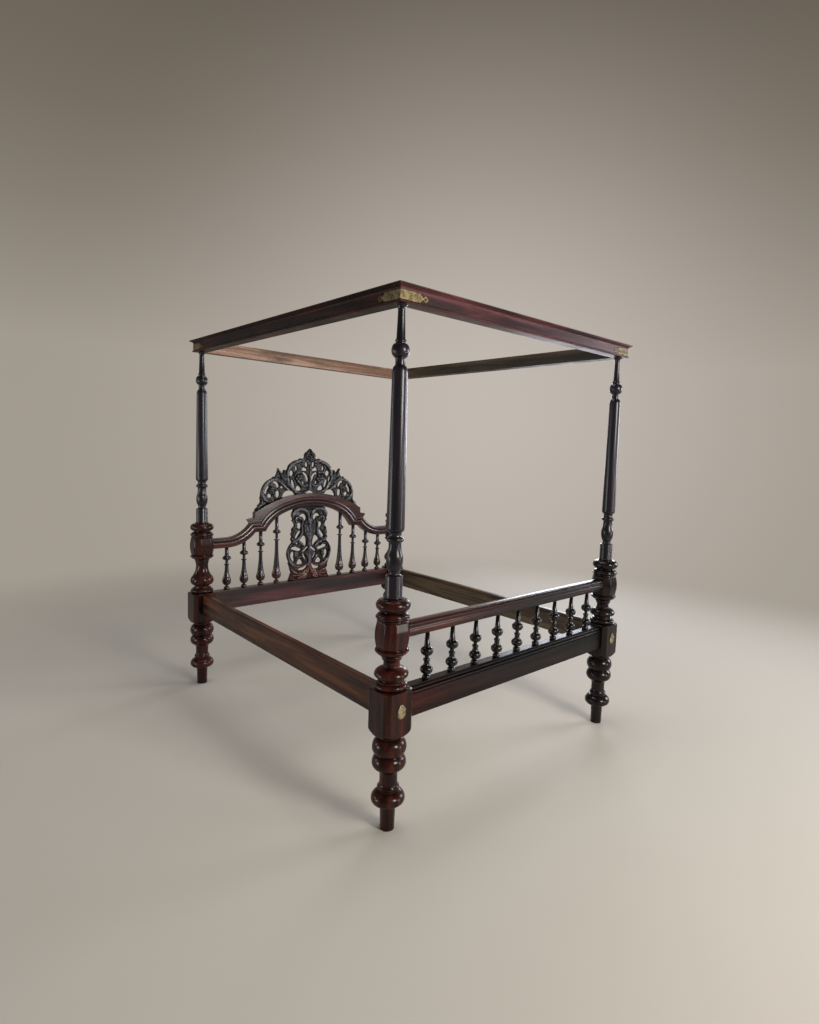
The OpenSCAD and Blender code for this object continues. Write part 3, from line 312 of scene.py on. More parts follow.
def refined(name, material, arris, inside=None):
    """A CAD node's own shape, its arrises rounded by so many millimetres, as use wears them.
    inside is the direction that its unpolished face looks in, and that face's material."""
    weld, one_plane, arris_angle, shortest = 2e-5, math.radians(0.4), math.radians(40), 2.5 * arris * MM
    bm = bmesh.new()
    bm.from_mesh(frame["nodes"][name].data)
    bmesh.ops.remove_doubles(bm, verts=bm.verts, dist=weld)
    if arris:
        bmesh.ops.dissolve_limit(bm, angle_limit=one_plane, verts=bm.verts, edges=bm.edges)
        arrises = [e for e in bm.edges if len(e.link_faces) == 2 and e.calc_face_angle(0) > arris_angle
                   and e.calc_length() > shortest]
        bmesh.ops.bevel(bm, geom=arrises, offset=arris * MM, segments=2, profile=0.55, affect="EDGES",
                        clamp_overlap=True)
    if inside:
        for face in bm.faces:
            face.material_index = int(face.normal.dot(Vector(inside[0])) > 0.9)
    piece = make_piece(bm, name + "_worn", material, name, RAIL_ANGLE)
    if inside:
        piece.data.materials.append(inside[1])
    # flat faces stay flat right up to their rounded arrises
    piece.modifiers.new("flat_faces", "WEIGHTED_NORMAL").keep_sharp = True


# ---------------------------------------------------------------- turnings
# Each turning is a list of members from the bottom up: kind, height, radius at foot and top, and degrees
# of arc where it isn't 90. A line is straight, swell and shrink are round, hollow and flare are coved.
# Millimetres, the same as the CAD part's.
LEG = [
    ("line", 108, 30, 33), ("swell", 27, 36, 71, 84), ("line", 3, 71, 71), ("shrink", 32, 71, 44, 64),
    ("line", 8, 42, 42), ("swell", 7, 42, 46.5), ("shrink", 7, 46.5, 42), ("hollow", 18, 42, 37.5, 60),
    ("line", 26, 37.5, 37.5), ("flare", 26, 37.5, 48, 62), ("swell", 30, 48, 71.5, 66),
    ("shrink", 34, 71.5, 55, 60), ("swell", 33, 55, 72, 60), ("shrink", 40, 72, 47, 76),
    ("line", 9, 46, 47),
]
BASE_RINGS = [
    ("swell", 12.5, 55, 69), ("shrink", 12.5, 69, 55), ("swell", 4, 53, 57), ("shrink", 4, 57, 53),
    ("line", 4, 46, 46),
]
FOOT_VASE = [
    ("line", 8, 45, 45), ("swell", 15, 47, 71), ("shrink", 26, 71, 48, 62), ("hollow", 10, 48, 34, 60),
    ("line", 13, 34, 34), ("flare", 14, 34, 41, 60), ("line", 7, 40, 40),
]
HEAD_VASE = [
    ("line", 10, 43, 43), ("swell", 30, 45, 71, 80), ("shrink", 30, 71, 60, 50),
    ("hollow", 67, 60, 37, 40), ("flare", 28, 37, 42, 60), ("line", 6, 41, 41),
]
CUP = [
    ("swell", 5, 41, 45), ("shrink", 5, 45, 41), ("line", 2, 41, 41), ("swell", 14, 46, 66, 76),
    ("swell", 4, 67, 71), ("line", 2, 71, 71), ("shrink", 3, 71, 67), ("hollow", 5, 67, 60, 60),
]
CAP = [
    ("swell", 4, 60, 65), ("shrink", 4, 65, 61), ("line", 3, 61, 61), ("swell", 6, 62, 71),
    ("shrink", 5, 71, 66), ("shrink", 15, 66, 47, 70), ("line", 5, 45, 45), ("swell", 23, 46, 71),
    ("shrink", 24, 71, 47), ("line", 3, 44, 44),
]
SHAFT_BASE = [
    ("swell", 4, 35, 39), ("shrink", 4, 39, 36), ("line", 85, 35.5, 35.5), ("hollow", 9, 35.5, 23, 70),
    ("line", 10, 23, 23), ("swell", 47, 23, 34.5, 70), ("shrink", 20, 34.5, 32, 40),
    ("hollow", 43, 32, 25.5, 50), ("flare", 9, 25.5, 29, 60), ("swell", 9, 29, 35.5),
    ("shrink", 9, 35.5, 29), ("hollow", 12, 29, 25, 70), ("flare", 12, 25, 31, 70),
    ("swell", 13, 31, 37, 60),
]
SHAFT_HEAD = [
    ("shrink", 27, 31, 19.5, 70), ("line", 26, 19.5, 19.5), ("line", 4, 22.5, 22.5),
    ("swell", 26, 20.5, 36), ("shrink", 27, 36, 20.5), ("line", 5, 19.5, 19.5), ("swell", 5, 19.5, 22.5),
    ("shrink", 6, 22.5, 18.5), ("line", 68, 18, 15.5), ("line", 38, 15.5, 14.5),
    ("flare", 26, 14.5, 25, 80),
]
FOOT_SPINDLE = [
    ("swell", 8, 14, 18.5), ("shrink", 12, 18.5, 10), ("line", 4, 9.5, 9.5), ("swell", 20, 10, 28),
    ("shrink", 14, 28, 20, 62), ("hollow", 16, 20, 12, 60), ("line", 6, 12, 12), ("swell", 6, 12, 15.5),
    ("shrink", 7, 15.5, 9.5), ("line", 12, 9, 9), ("swell", 21, 10, 28), ("shrink", 13, 28, 21, 60),
    ("hollow", 9, 21, 13.5, 60),
]
FOOT_SPINDLES, FOOT_SPINDLE_H, FOOT_SPINDLE_STEP, FOOT_SPINDLE_Y = 9, 212, 150, -1008
HEAD_SPINDLES = 8
STEM_IN_ARCH = 20  # how far a head spindle's stem goes up into the arched rail


def total(members):
    """Height of a stack of members."""
    return sum(m[1] for m in members)


def profile(members, z):
    """The turned outline as (radius, height), every bend in it eased by the turner's sandpaper."""
    arc_step, shortest, bend, ease = 7, 0.15, math.radians(26), 0.9
    line = []
    for kind, height, foot, top, *rest in members:
        arc = math.radians(rest[0] if rest else 90)
        upright_end = kind in ("swell", "hollow")
        steps = 1 if kind == "line" else max(4, round(math.degrees(arc) / arc_step))
        for i in range(steps + 1):
            t = i / steps
            if kind == "line":
                point = (foot + (top - foot) * t, z + height * t)
            else:
                a = arc * (1 - t) if upright_end else arc * t
                across, along = (1 - math.cos(a)) / (1 - math.cos(arc)), math.sin(a) / math.sin(arc)
                if upright_end:
                    point = (top + (foot - top) * across, z + height * (1 - along))
                else:
                    point = (foot + (top - foot) * across, z + height * along)
            if not line or math.dist(line[-1], point) > shortest:
                line.append(point)
        z += height
    eased = [line[0]]
    for a, b, c in zip(line, line[1:], line[2:]):
        a, b, c = Vector(a), Vector(b), Vector(c)
        before, after = b - a, c - b
        if before.angle(after) < bend:
            eased.append(tuple(b))
            continue
        cut = min(ease, 0.4 * before.length, 0.4 * after.length)
        p, q = b - before.normalized() * cut, b + after.normalized() * cut
        eased += [tuple(p), tuple((p + 2 * b + q) / 4), tuple(q)]
    return eased + [line[-1]]


def ring_stack(bm, rings, centre):
    """Skins a stack of rings, each a list of (x, y, z) in millimetres, into a closed shell."""
    x0, y0 = centre
    rows = [[bm.verts.new(((x0 + x) * MM, (y0 + y) * MM, z * MM)) for x, y, z in ring] for ring in rings]
    for low, high in zip(rows, rows[1:]):
        for i in range(len(low)):
            k = (i + 1) % len(low)
            bm.faces.new((low[i], low[k], high[k], high[i]))
    bm.faces.new(rows[0][::-1])
    bm.faces.new(rows[-1])


def lathe(bm, members, z, centre, sides=96):
    """Turns a stack of members that starts at height z, round an axis at centre."""
    angles = np.linspace(0, 2 * math.pi, sides, endpoint=False)
    rings = [[(r * math.cos(a), r * math.sin(a), h) for a in angles] for r, h in profile(members, z)]
    ring_stack(bm, rings, centre)


def flats(angle, apothems, ease):
    """Radius at an angle of an eight-sided section whose arrises are eased."""
    sides = [ap / math.cos(d) for ap, k in zip(apothems * 4, range(8))
             if abs(d := (angle - k * math.pi / 4 + math.pi) % (2 * math.pi) - math.pi) < 1.2]
    return -ease * math.log(sum(math.exp(-r / ease) for r in sides))


def columns(arrises, between, spread):
    """Angles of an eight-sided section's columns: close together at the arrises, a few between them."""
    close = [a + math.radians(d) for a in arrises for d in (-spread, -3, -1.2, -0.4, 0.4, 1.2, 3, spread)]
    return sorted(a % (2 * math.pi) for a in close + between)


def joint_block(bm, z, centre):
    """Square block with bevelled corners, turned away at the shoulder below and rounded above."""
    bevel, reach, core, arris_ease, turned_ease = 21, 94.9, 46, 0.7, 0.8
    slant = (2 * BLOCK_HALF - bevel) / math.sqrt(2)
    corner, sides = math.atan2(BLOCK_HALF - bevel, BLOCK_HALF), [k * math.pi / 2 for k in range(4)]
    angles = columns([side + c for side in sides for c in (-corner, corner)],
                     [side + c for side in sides for c in (-corner / 2, 0, corner / 2, math.pi / 4)], 6)
    turned = [("swell", 48, 52, reach, 60), ("line", 140, reach, reach), ("shrink", 12, reach, 74, 60)]
    rings = []
    for radius, h in [(core, z), *profile(turned, z), (core, z + BLOCK_H)]:
        ring = []
        for a in angles:
            r = flats(a, (BLOCK_HALF, slant), arris_ease)
            r = -turned_ease * math.log(math.exp(-r / turned_ease) + math.exp(-radius / turned_ease))
            ring.append((r * math.cos(a), r * math.sin(a), h))
        rings.append(ring)
    ring_stack(bm, rings, centre)


def bolt_seat(bm, end, centre):
    """Sinks a bed bolt's round seat into the joint block's end face, as in the CAD part."""
    radius, depth, patch = 13, 22, 18
    x, y = centre[0], centre[1] + BLOCK_HALF * end
    middle = Vector((x, y, BOLT_Z)) * MM

    def end_face():
        bm.normal_update()
        return [f for f in bm.faces
                if f.normal.y * end > 0.9999 and abs(f.calc_center_median().y - y * MM) < 1e-5]

    # a square patch is cut out of the face, and filled again round the seat's mouth
    for across, at in (((1, 0, 0), x - patch), ((1, 0, 0), x + patch),
                       ((0, 0, 1), BOLT_Z - patch), ((0, 0, 1), BOLT_Z + patch)):
        faces = end_face()
        edges = [e for e in bm.edges if any(f in faces for f in e.link_faces)]
        verts = [v for v in bm.verts if any(e in edges for e in v.link_edges)]
        bmesh.ops.bisect_plane(bm, geom=faces + edges + verts, dist=1e-7, plane_co=Vector(across) * at * MM,
                               plane_no=across)
    cut = [f for f in end_face() if max(map(abs, f.calc_center_median() - middle)) < patch * MM]
    bmesh.ops.delete(bm, geom=cut, context="FACES")
    border = [e for e in bm.edges if e.is_boundary]
    turn = np.linspace(0, 2 * math.pi, 48, endpoint=False)
    mouth, floor = [[bm.verts.new(((x + radius * math.cos(a)) * MM, (y - end * sunk) * MM,
                                   (BOLT_Z + radius * math.sin(a)) * MM)) for a in turn]
                    for sunk in (0, depth)]
    rim = [bm.edges.new(pair) for pair in zip(mouth, mouth[1:] + mouth[:1])]
    bmesh.ops.triangle_fill(bm, use_beauty=True, edges=border + rim, normal=(0, end, 0))
    for i in range(len(turn)):
        bm.faces.new((mouth[i], mouth[i - 1], floor[i - 1], floor[i]))
    bm.faces.new(floor)
    bmesh.ops.recalc_face_normals(bm, faces=bm.faces)


def barrel(bm, z, centre):
    """Eight curved flats, bellied out in the middle."""
    rows, end_apothem, belly, corner_share, arris_ease = 24, 58.5, 7.5, 1.066, 0.6
    eighth = math.pi / 4
    angles = columns([(k + 0.5) * eighth for k in range(8)], [k * eighth for k in range(8)], 8)
    rings = []
    for i in range(rows + 1):
        apothem = end_apothem + belly * math.sin(math.pi * i / rows)
        ring = []
        for a in angles:
            r = flats(a, (apothem, corner_share * apothem), arris_ease)
            ring.append((r * math.cos(a), r * math.sin(a), z + BARREL_H * i / rows))
        rings.append(ring)
    ring_stack(bm, rings, centre)


def lower_post(end, side):
    """Leg, joint block with its bolt's seat, vase, barrel and cap. Gives the height of its top."""
    centre = (POST_X * side, POST_Y * end)
    # the turned core runs on inside the block and the barrel
    under = LEG + [("line", BLOCK_H, 44, 44)] + BASE_RINGS + (HEAD_VASE if end > 0 else FOOT_VASE) + CUP
    whole = under + [("line", BARREL_H, 50, 50)] + CAP
    bm = bmesh.new()
    lathe(bm, whole, 0, centre)
    joint_block(bm, total(LEG), centre)
    bolt_seat(bm, end, centre)
    barrel(bm, total(under), centre)
    name = corner_name("lower_post", end, side)
    make_piece(bm, name + "_turned", post_wood, name, TURNED_ANGLE)
    return total(whole)


def upper_post(end, side, base):
    """Slender shaft from the lower post's top up to the tester."""
    shaft = TESTER_Z - base - total(SHAFT_BASE) - total(SHAFT_HEAD)
    bm = bmesh.new()
    lathe(bm, SHAFT_BASE + [("line", shaft, 37, 31)] + SHAFT_HEAD, base, (POST_X * side, POST_Y * end))
    name = corner_name("upper_post", end, side)
    make_piece(bm, name + "_turned", shaft_wood, name, TURNED_ANGLE)


for end, side in CORNERS:
    upper_post(end, side, lower_post(end, side))


def spindle(name, members, material, centre):
    """A slim turning that stands on a bottom rail."""
    bm = bmesh.new()
    lathe(bm, members, RAIL_TOP, centre, sides=48)
    make_piece(bm, name + "_turned", material, name, TURNED_ANGLE)


for i in range(FOOT_SPINDLES):
    stem = ("line", FOOT_SPINDLE_H - total(FOOT_SPINDLE), 13, 8.5)
    x = (i - (FOOT_SPINDLES - 1) / 2) * FOOT_SPINDLE_STEP
    spindle(f"foot_spindle_{i + 1}", FOOT_SPINDLE + [stem], ebon_spindle, (x, FOOT_SPINDLE_Y))


def head_spindle(h):
    """Members of a head spindle of height h: button, drop, flared collar, ball and stem."""
    tall = (h - 285) / (481 - 285)  # 0 for a spindle of 285, 1 for one of 481
    drop, ring, collar = 28.5 + 4 * tall, 18 + 3 * tall, 0.735 * h - 40
    ball = collar + 44 + 14 * tall
    return [("swell", 7, 14, 20), ("shrink", 14, 20, 9.5), ("line", 9, 9, 9),
            ("swell", 28, 9.5, drop), ("shrink", 26, drop, 0.8 * drop, 50),
            ("hollow", collar - 92, 0.8 * drop, 11.5, 40), ("flare", 5, 11.5, ring - 2, 60),
            ("swell", 3, ring - 2, ring), ("shrink", 4, ring, 11.5), ("line", ball - collar - 18, 9.5, 9.5),
            ("swell", 14, 11, 28), ("shrink", 12, 28, 19, 66), ("hollow", 12, 19, 12.5, 60),
            ("line", h - ball - 24 + STEM_IN_ARCH, 12.5, 12.5)]


for i in range(HEAD_SPINDLES):
    name = f"head_spindle_{i + 1}"
    solid = frame["nodes"][name]
    corners = [solid.matrix_world @ Vector(c) for c in solid.bound_box]
    middle = sum(c.x for c in corners) / 8 / MM
    height = max(c.z for c in corners) / MM - RAIL_TOP - STEM_IN_ARCH
    spindle(name, head_spindle(height), spindle_wood, (middle, POST_Y))

# ---------------------------------------------------------------- rails, brass and iron
# Each rail's wood, how far its arrises are worn in millimetres, and its inner face where that is another
for name, material, arris, inside in (
        ("side_rail_left", rail_y, 2.0, ((1, 0, 0), dusty_y)),
        ("side_rail_right", rail_y, 2.0, ((-1, 0, 0), dusty_y)),
        ("head_rail", head_x, 2.0, None),
        ("foot_rail", foot_x, 1.2, None),
        ("foot_top_rail", rail_x, 1.2, None),
        ("head_top_rail", reed_x, 0, None),
        ("tester_rail_foot", tester_x, 1.0, ((0, 1, 0), raw_x)),
        ("tester_rail_head", tester_x, 1.0, ((0, -1, 0), raw_x)),
        ("tester_rail_left", tester_y, 1.0, ((1, 0, 0), smoked_y)),
        ("tester_rail_right", tester_y, 1.0, ((-1, 0, 0), smoked_y))):
    refined(name, material, arris, inside)
for end, side in CORNERS:
    refined(corner_name("corner_plate", end, side), brass, 0.25)

# What the CAD nodes that keep their shape are made of
PLAIN = {"aged_brass": brass, "wrought_iron": iron, "bare_wood": raw_x}
for name, solid in frame["nodes"].items():
    if SLOTS[name] in PLAIN:
        solid.data.materials.clear()
        solid.data.materials.append(PLAIN[SLOTS[name]])

# ---------------------------------------------------------------- carving
# Outlines and piercings of the right halves, in millimetres, as in the CAD part
CREST_LINE = [
    (0, 16), (12, 13), (24, 7), (34, 0), (60, -16), (112, -20), (124, -4), (134, 9), (150, 17), (170, 20),
    (190, 15), (205, 2), (213, -14), (222, -36), (262, -66), (330, -100), (396, -134), (412, -130),
    (422, -118), (421, -104), (411, -97), (404, -90), (402, -78), (391, -70), (384, -58), (383, -42),
    (386, -28), (382, -14), (381, 4), (375, 28), (364, 54), (348, 76), (328, 93), (308, 103), (296, 110),
    (289, 120), (278, 120), (268, 128), (262, 142), (258, 160), (254, 181), (243, 172), (232, 156),
    (222, 144), (214, 146), (212, 160), (204, 169), (194, 165), (184, 168), (178, 180), (173, 194),
    (163, 207), (148, 219), (130, 230), (110, 238), (94, 240), (84, 249), (70, 252), (60, 246), (50, 250),
    (46, 262), (45, 278), (36, 292), (24, 300), (12, 312), (0, 323),
]
CREST_HOLES = [
    [(22, 190), (19, 207), (24, 224), (34, 226), (37, 208), (31, 190)],
    [(26, 162), (24, 172), (36, 180), (46, 186), (58, 180), (62, 165), (46, 160)],
    [(104, 164), (102, 180), (108, 195), (116, 194), (117, 178), (112, 162)],
    [(140, 126), (134, 142), (138, 158), (150, 162), (162, 154), (163, 138), (152, 124)],
    [(157, 84), (161, 104), (168, 122), (174, 119), (172, 100), (165, 80)],
    [(120, 42), (124, 64), (132, 88), (141, 100), (147, 90), (142, 64), (131, 40)],
    [(72, 20), (70, 32), (84, 48), (96, 54), (106, 44), (110, 28), (96, 17)],
    [(11, 90), (14, 112), (24, 134), (42, 148), (58, 150), (60, 142), (46, 134), (34, 118), (28, 98),
     (22, 84)],
    [(47, 64), (46, 76), (52, 88), (59, 84), (58, 68)],
    [(246, 44), (244, 58), (252, 74), (266, 85), (284, 84), (286, 76), (272, 68), (263, 56), (258, 42)],
    [(320, 60), (330, 54), (343, 34), (351, 10), (346, -2), (338, 0), (332, 22), (320, 44)],
    [(246, -24), (240, -10), (242, 14), (252, 24), (264, 16), (266, -6), (262, -22), (254, -29)],
    [(300, -20), (304, -6), (314, 0), (326, -6), (328, -18), (318, -28), (306, -28)],
    [(210, 38), (214, 48), (226, 50), (232, 44), (222, 35)],
]
SPLAT_LINE = [
    (0, 0), (170, 0), (158, 32), (151, 50), (146, 58), (150, 66), (156, 82), (160, 100), (166, 116),
    (171, 130), (166, 138), (174, 156), (181, 180), (182, 206), (175, 232), (162, 256), (148, 272),
    (142, 282), (150, 294), (151, 308), (144, 318), (149, 330), (150, 346), (143, 354), (146, 368),
    (140, 384), (128, 394), (126, 408), (134, 424), (146, 438), (137, 446), (146, 466), (148, 486),
    (140, 504), (132, 522), (120, 530), (100, 548), (0, 556),
]
SPLAT_HOLES = [
    [(84, 462), (74, 476), (58, 483), (40, 476), (30, 458), (32, 438), (42, 430), (48, 446), (58, 459),
     (72, 463)],
    [(76, 372), (71, 395), (76, 414), (90, 420), (101, 406), (99, 390), (88, 376)],
    [(74, 352), (82, 363), (95, 350), (108, 332), (120, 314), (116, 303), (104, 306), (88, 328)],
    [(26, 258), (27, 288), (33, 311), (46, 321), (60, 313), (74, 298), (76, 286), (62, 276), (48, 264),
     (38, 250), (30, 248)],
    [(66, 222), (82, 232), (98, 237), (112, 246), (128, 244), (144, 240), (140, 229), (122, 221),
     (98, 214), (78, 212)],
    [(93, 264), (97, 274), (106, 275), (110, 267), (104, 259)],
    [(128, 206), (140, 208), (151, 190), (149, 168), (138, 148), (126, 136), (121, 146), (127, 166),
     (125, 190)],
    [(54, 116), (58, 130), (68, 144), (80, 150), (91, 140), (99, 124), (92, 113), (74, 111)],
    [(8, 240), (16, 241), (34, 224), (52, 209), (55, 199), (44, 203), (26, 217), (11, 230)],
    [(49, 192), (55, 190), (47, 168), (36, 150), (27, 150), (35, 166), (43, 182)],
    [(18, 100), (22, 86), (36, 73), (58, 66), (77, 70), (86, 79), (70, 84), (52, 88), (36, 98), (26, 106)],
]

# Raised shapes of the right halves. Bands and leaves are the half breadth at the start, middle and end,
# then the middle line. Blooms are the middle, the radius and the number of petals.
CREST_BANDS = [
    (9, 14, 10, [(16, 14), (50, 2), (103, 4), (140, 34), (166, 76), (179, 116), (172, 168), (148, 200),
                 (112, 222), (74, 236)]),
    (8, 13, 8, [(126, -4), (160, 14), (197, 44), (226, 72), (254, 94), (286, 98), (320, 84), (346, 60),
                (364, 26), (368, -8), (354, -38), (322, -56), (288, -60), (262, -44)]),
    (7, 12, 4, [(20, 60), (36, 50), (62, 54), (84, 72), (100, 92)]),
    (4, 9, 3, [(60, 142), (84, 152), (110, 146), (128, 120)]),
    (4, 8, 3, [(262, 18), (276, 34), (300, 40), (322, 30)]),
    (4, 7, 3, [(296, 2), (282, -10), (278, -34)]),
    (5, 8, 3, [(330, 66), (310, 62), (300, 46)]),
    (6, 12, 6, [(20, 236), (40, 226), (66, 232), (84, 246)]),
    (5, 9, 4, [(396, -122), (398, -100), (378, -76), (372, -50)]),
]
CREST_LEAVES = [
    (6, 20, 3, [(150, 36), (184, 74), (212, 110), (236, 142), (254, 178)]),
    (4, 15, 4, [(170, 76), (196, 112), (208, 140), (207, 166)]),
    (4, 13, 4, [(206, 70), (240, 96), (268, 112), (292, 118)]),
    (6, 20, 3, [(22, 250), (30, 270), (18, 296), (0, 322)]),
    (4, 14, 5, [(90, 214), (118, 226), (150, 214), (172, 188)]),
    (5, 16, 5, [(390, -30), (396, -70), (404, -100), (418, -120)]),
    (6, 14, 4, [(230, -50), (262, -72), (320, -98), (390, -128)]),
]
CREST_BLOOMS = [(86, 104, 34, 6), (302, 22, 22, 5), (0, 252, 22, 6)]
CREST_STEM = (14, 9, 6, [(0, 22), (0, 110), (0, 196)])
SPLAT_BANDS = [
    (9, 15, 10, [(8, 436), (16, 478), (38, 508), (76, 520), (112, 508), (137, 476), (140, 440), (126, 408),
                 (110, 398)]),
    (4, 10, 6, [(62, 436), (84, 452), (106, 460), (118, 444), (110, 426)]),
    (7, 11, 7, [(58, 430), (65, 396), (62, 360), (68, 330), (90, 302), (118, 290), (140, 298),
                (146, 312)]),
    (7, 12, 8, [(46, 244), (78, 270), (118, 281), (152, 272), (171, 246), (177, 212), (172, 176),
                (157, 138), (128, 110), (90, 97), (50, 98), (14, 110)]),
    (6, 9, 4, [(60, 206), (84, 218), (104, 204), (116, 180), (106, 160)]),
    (5, 8, 4, [(30, 132), (50, 156), (66, 170), (96, 162)]),
    (7, 12, 5, [(4, 108), (8, 76), (28, 40), (60, 20), (100, 12)]),
    (6, 10, 5, [(10, 106), (40, 58), (84, 46), (124, 58), (150, 84)]),
    (5, 9, 4, [(22, 64), (60, 34), (110, 34), (150, 44)]),
    (4, 8, 3, [(10, 52), (34, 16), (84, 2), (158, 8)]),
]
SPLAT_LEAVES = [
    (4, 18, 4, [(104, 300), (124, 316), (132, 344), (134, 376)]),
    (4, 14, 4, [(118, 470), (134, 490), (142, 470)]),
    (4, 12, 4, [(142, 120), (158, 138), (172, 150)]),
    (4, 16, 5, [(92, 240), (112, 254), (140, 256)]),
    (8, 30, 10, [(30, 440), (34, 400), (24, 350), (12, 280)]),
    (5, 16, 4, [(6, 150), (20, 178), (18, 204), (4, 230)]),
]
SPLAT_BLOOMS = [(118, 188, 24, 5), (0, 428, 26, 8), (92, 268, 12, 5)]
SPLAT_STEM = (16, 22, 12, [(0, 120), (0, 330), (0, 440)])


def smooth_line(points, corner, closed, steps):
    """A smooth line through points, sharp where it turns by more than so many degrees."""
    points = [Vector(p) for p in points]
    n = len(points)

    def at(i):
        return points[i % n] if closed else points[min(max(i, 0), n - 1)]

    def sharp(i):
        a, b = at(i) - at(i - 1), at(i + 1) - at(i)
        return a.length * b.length == 0 or math.degrees(a.angle(b)) > corner

    line = []
    for i in range(n if closed else n - 1):
        b, c = at(i), at(i + 1)
        a, d = b if sharp(i) else at(i - 1), c if sharp(i + 1) else at(i + 2)
        slope, bend, twist = c - a, 2 * a - 5 * b + 4 * c - d, 3 * b - a - 3 * c + d
        for t in (k / steps for k in range(steps)):
            line.append((2 * b + slope * t + bend * t ** 2 + twist * t ** 3) / 2)
    return np.array([tuple(p) for p in line] + ([] if closed else [tuple(points[-1])]))


def to_line(px, pz, line, closed):
    """Distance to a line, and the place along it from 0 to 1, for arrays of points."""
    ends = np.roll(line, -1, axis=0) if closed else line[1:]
    starts = line if closed else line[:-1]
    span = ends - starts
    lengths = np.hypot(span[:, 0], span[:, 1])
    before = np.concatenate([[0], np.cumsum(lengths)])
    best, place = np.full(px.shape, 1e9), np.zeros(px.shape)
    for s, v, l, run in zip(starts, span, lengths, before):
        if l < 1e-9:
            continue
        t = np.clip(((px - s[0]) * v[0] + (pz - s[1]) * v[1]) / l ** 2, 0, 1)
        d = np.hypot(px - s[0] - t * v[0], pz - s[1] - t * v[1])
        near = d < best
        best = np.where(near, d, best)
        place = np.where(near, (run + t * l) / before[-1], place)
    return best, place


def within(px, pz, loop):
    """Which points lie inside a loop: a line from them to one side crosses it an odd number of times."""
    inside = np.zeros(px.shape, bool)
    for (x0, z0), (x1, z1) in zip(loop, np.roll(loop, -1, axis=0)):
        if z0 != z1:
            inside ^= ((pz > z0) != (pz > z1)) & (px < x0 + (pz - z0) / (z1 - z0) * (x1 - x0))
    return inside


def wood_left(px, pz, outer, holes):
    """Distance from the carving's edge, less than nothing where no wood is left."""
    distance = to_line(px, pz, outer, True)[0]
    inside = within(px, pz, outer)
    for hole in holes:
        distance = np.minimum(distance, to_line(px, pz, hole, True)[0])
        inside &= ~within(px, pz, hole)
    return np.where(inside, distance, -distance)


def ridge(x, middle, width):
    """A soft ridge, 1 high at its middle."""
    return np.exp(-(((x - middle) / width) ** 2))


def dome(u):
    """A round section, 1 high at u = 0 and down to nothing at u = 1."""
    return np.sqrt(np.clip(1 - u ** 2, 0, 1))


def band(u):
    """A round band with a groove on each side of its middle."""
    return 0.5 + 0.46 * dome(u) - 0.15 * ridge(u, 0.45, 0.13)


def leaf(u, dist, along):
    """A leaf: side veins 9.5 mm apart run out from the midrib, which is a ridge in a hollow."""
    veins = 0.09 * np.cos(2 * math.pi * (along - 0.9 * dist) / 9.5)
    return (0.46 + 0.34 * dome(u) + veins * np.clip(2.2 * u, 0, 1) + 0.16 * ridge(dist, 0, 2.0)
            - 0.1 * ridge(dist, 4.5, 2.2))


def bloom(u, petal):
    """Domed petals with sharp ribs, round a button in its groove. petal is 1 along a petal's middle."""
    domed = 0.42 * petal ** 0.5 * np.clip(1 - ((u - 0.58) / 0.62) ** 2, 0, 1)
    petals = 0.45 + domed + 0.12 * ridge(petal, 1, 0.04) * (u < 0.85)
    button = 0.62 + 0.38 * dome(u / 0.27) - 0.3 * ridge(u, 0.3, 0.05)
    return np.where(u < 0.3, np.maximum(button, 0.3), petals)


def laid(height, shape, reach, groove):
    """Lays a raised shape over what is there, as far as reach 1, with a groove cut round it."""
    return np.where(reach < 1, np.maximum(height, shape), height - groove * ridge(reach, 1, 0.13))


def relief(px, pz, d, bands, leaves, blooms, stem):
    """How far the wood stands up, from 0 at the deepest to 1 at the board's face. d is the distance from
    the carving's edge."""
    ground_edge, tool_marks, round_edge = 7, 5.5, 4.5  # millimetres
    ground = 0.3 * (1 - (1 - np.clip(d / ground_edge, 0, 1)) ** 2)
    height = ground + 0.04 * np.cos(d * 2 * math.pi / tool_marks)
    for items, is_leaf in ((leaves, True), (bands, False), ([stem], False)):
        for first, middle, last, points in items:
            line = smooth_line(points, 70, False, 6)
            dist, t = to_line(px, pz, line, False)
            u = dist / np.interp(t, (0, 0.5, 1), (first, middle, last))
            if is_leaf:
                length = np.hypot(*np.diff(line, axis=0).T).sum()
                height = laid(height, leaf(u, dist, t * length), u, 0.06)
            else:
                height = laid(height, band(u), u, 0.11)
    for cx, cz, radius, petals in blooms:
        dx, dz = px - cx, pz - cz
        u = np.hypot(dx, dz) / radius
        petal = np.abs(np.cos(petals / 2 * np.arctan2(dz, dx)))
        height = laid(height, bloom(u, petal), u / (0.82 + 0.18 * petal), 0.1)
    rounding = np.sqrt(1 - (1 - np.clip(d / round_edge, 0, 1)) ** 2)
    return np.clip(height, 0.08, 1) * (0.25 + 0.75 * rounding) * np.where(d <= 0, 0.6, 1)


def fitted_grid(field, box, pitch):
    """A grid of points over a right half's box (x, z0, z1), those near the edge drawn onto it, so that the
    edge is clean. Gives the points and the field there."""
    nx, z0, z1 = int(box[0] / pitch) + 2, box[1] - pitch, box[2] + pitch
    nz = int((z1 - z0) / pitch) + 2
    px, pz = np.meshgrid(np.arange(nx) * pitch, z0 + np.arange(nz) * pitch, indexing="ij")
    d = field(px, pz)
    gx, gz = np.gradient(d, pitch)
    gx[0] = 0
    for _ in range(2):
        near = np.abs(d) < 0.72 * pitch
        steepness = np.maximum(gx ** 2 + gz ** 2, 0.25)
        px = np.where(near, px - d * gx / steepness, px)
        pz = np.where(near, pz - d * gz / steepness, pz)
        px[0] = 0
        d = np.where(near, field(px, pz), d)
        d = np.where(near & (np.abs(d) < 0.5), 0, d)
    return px, pz, d


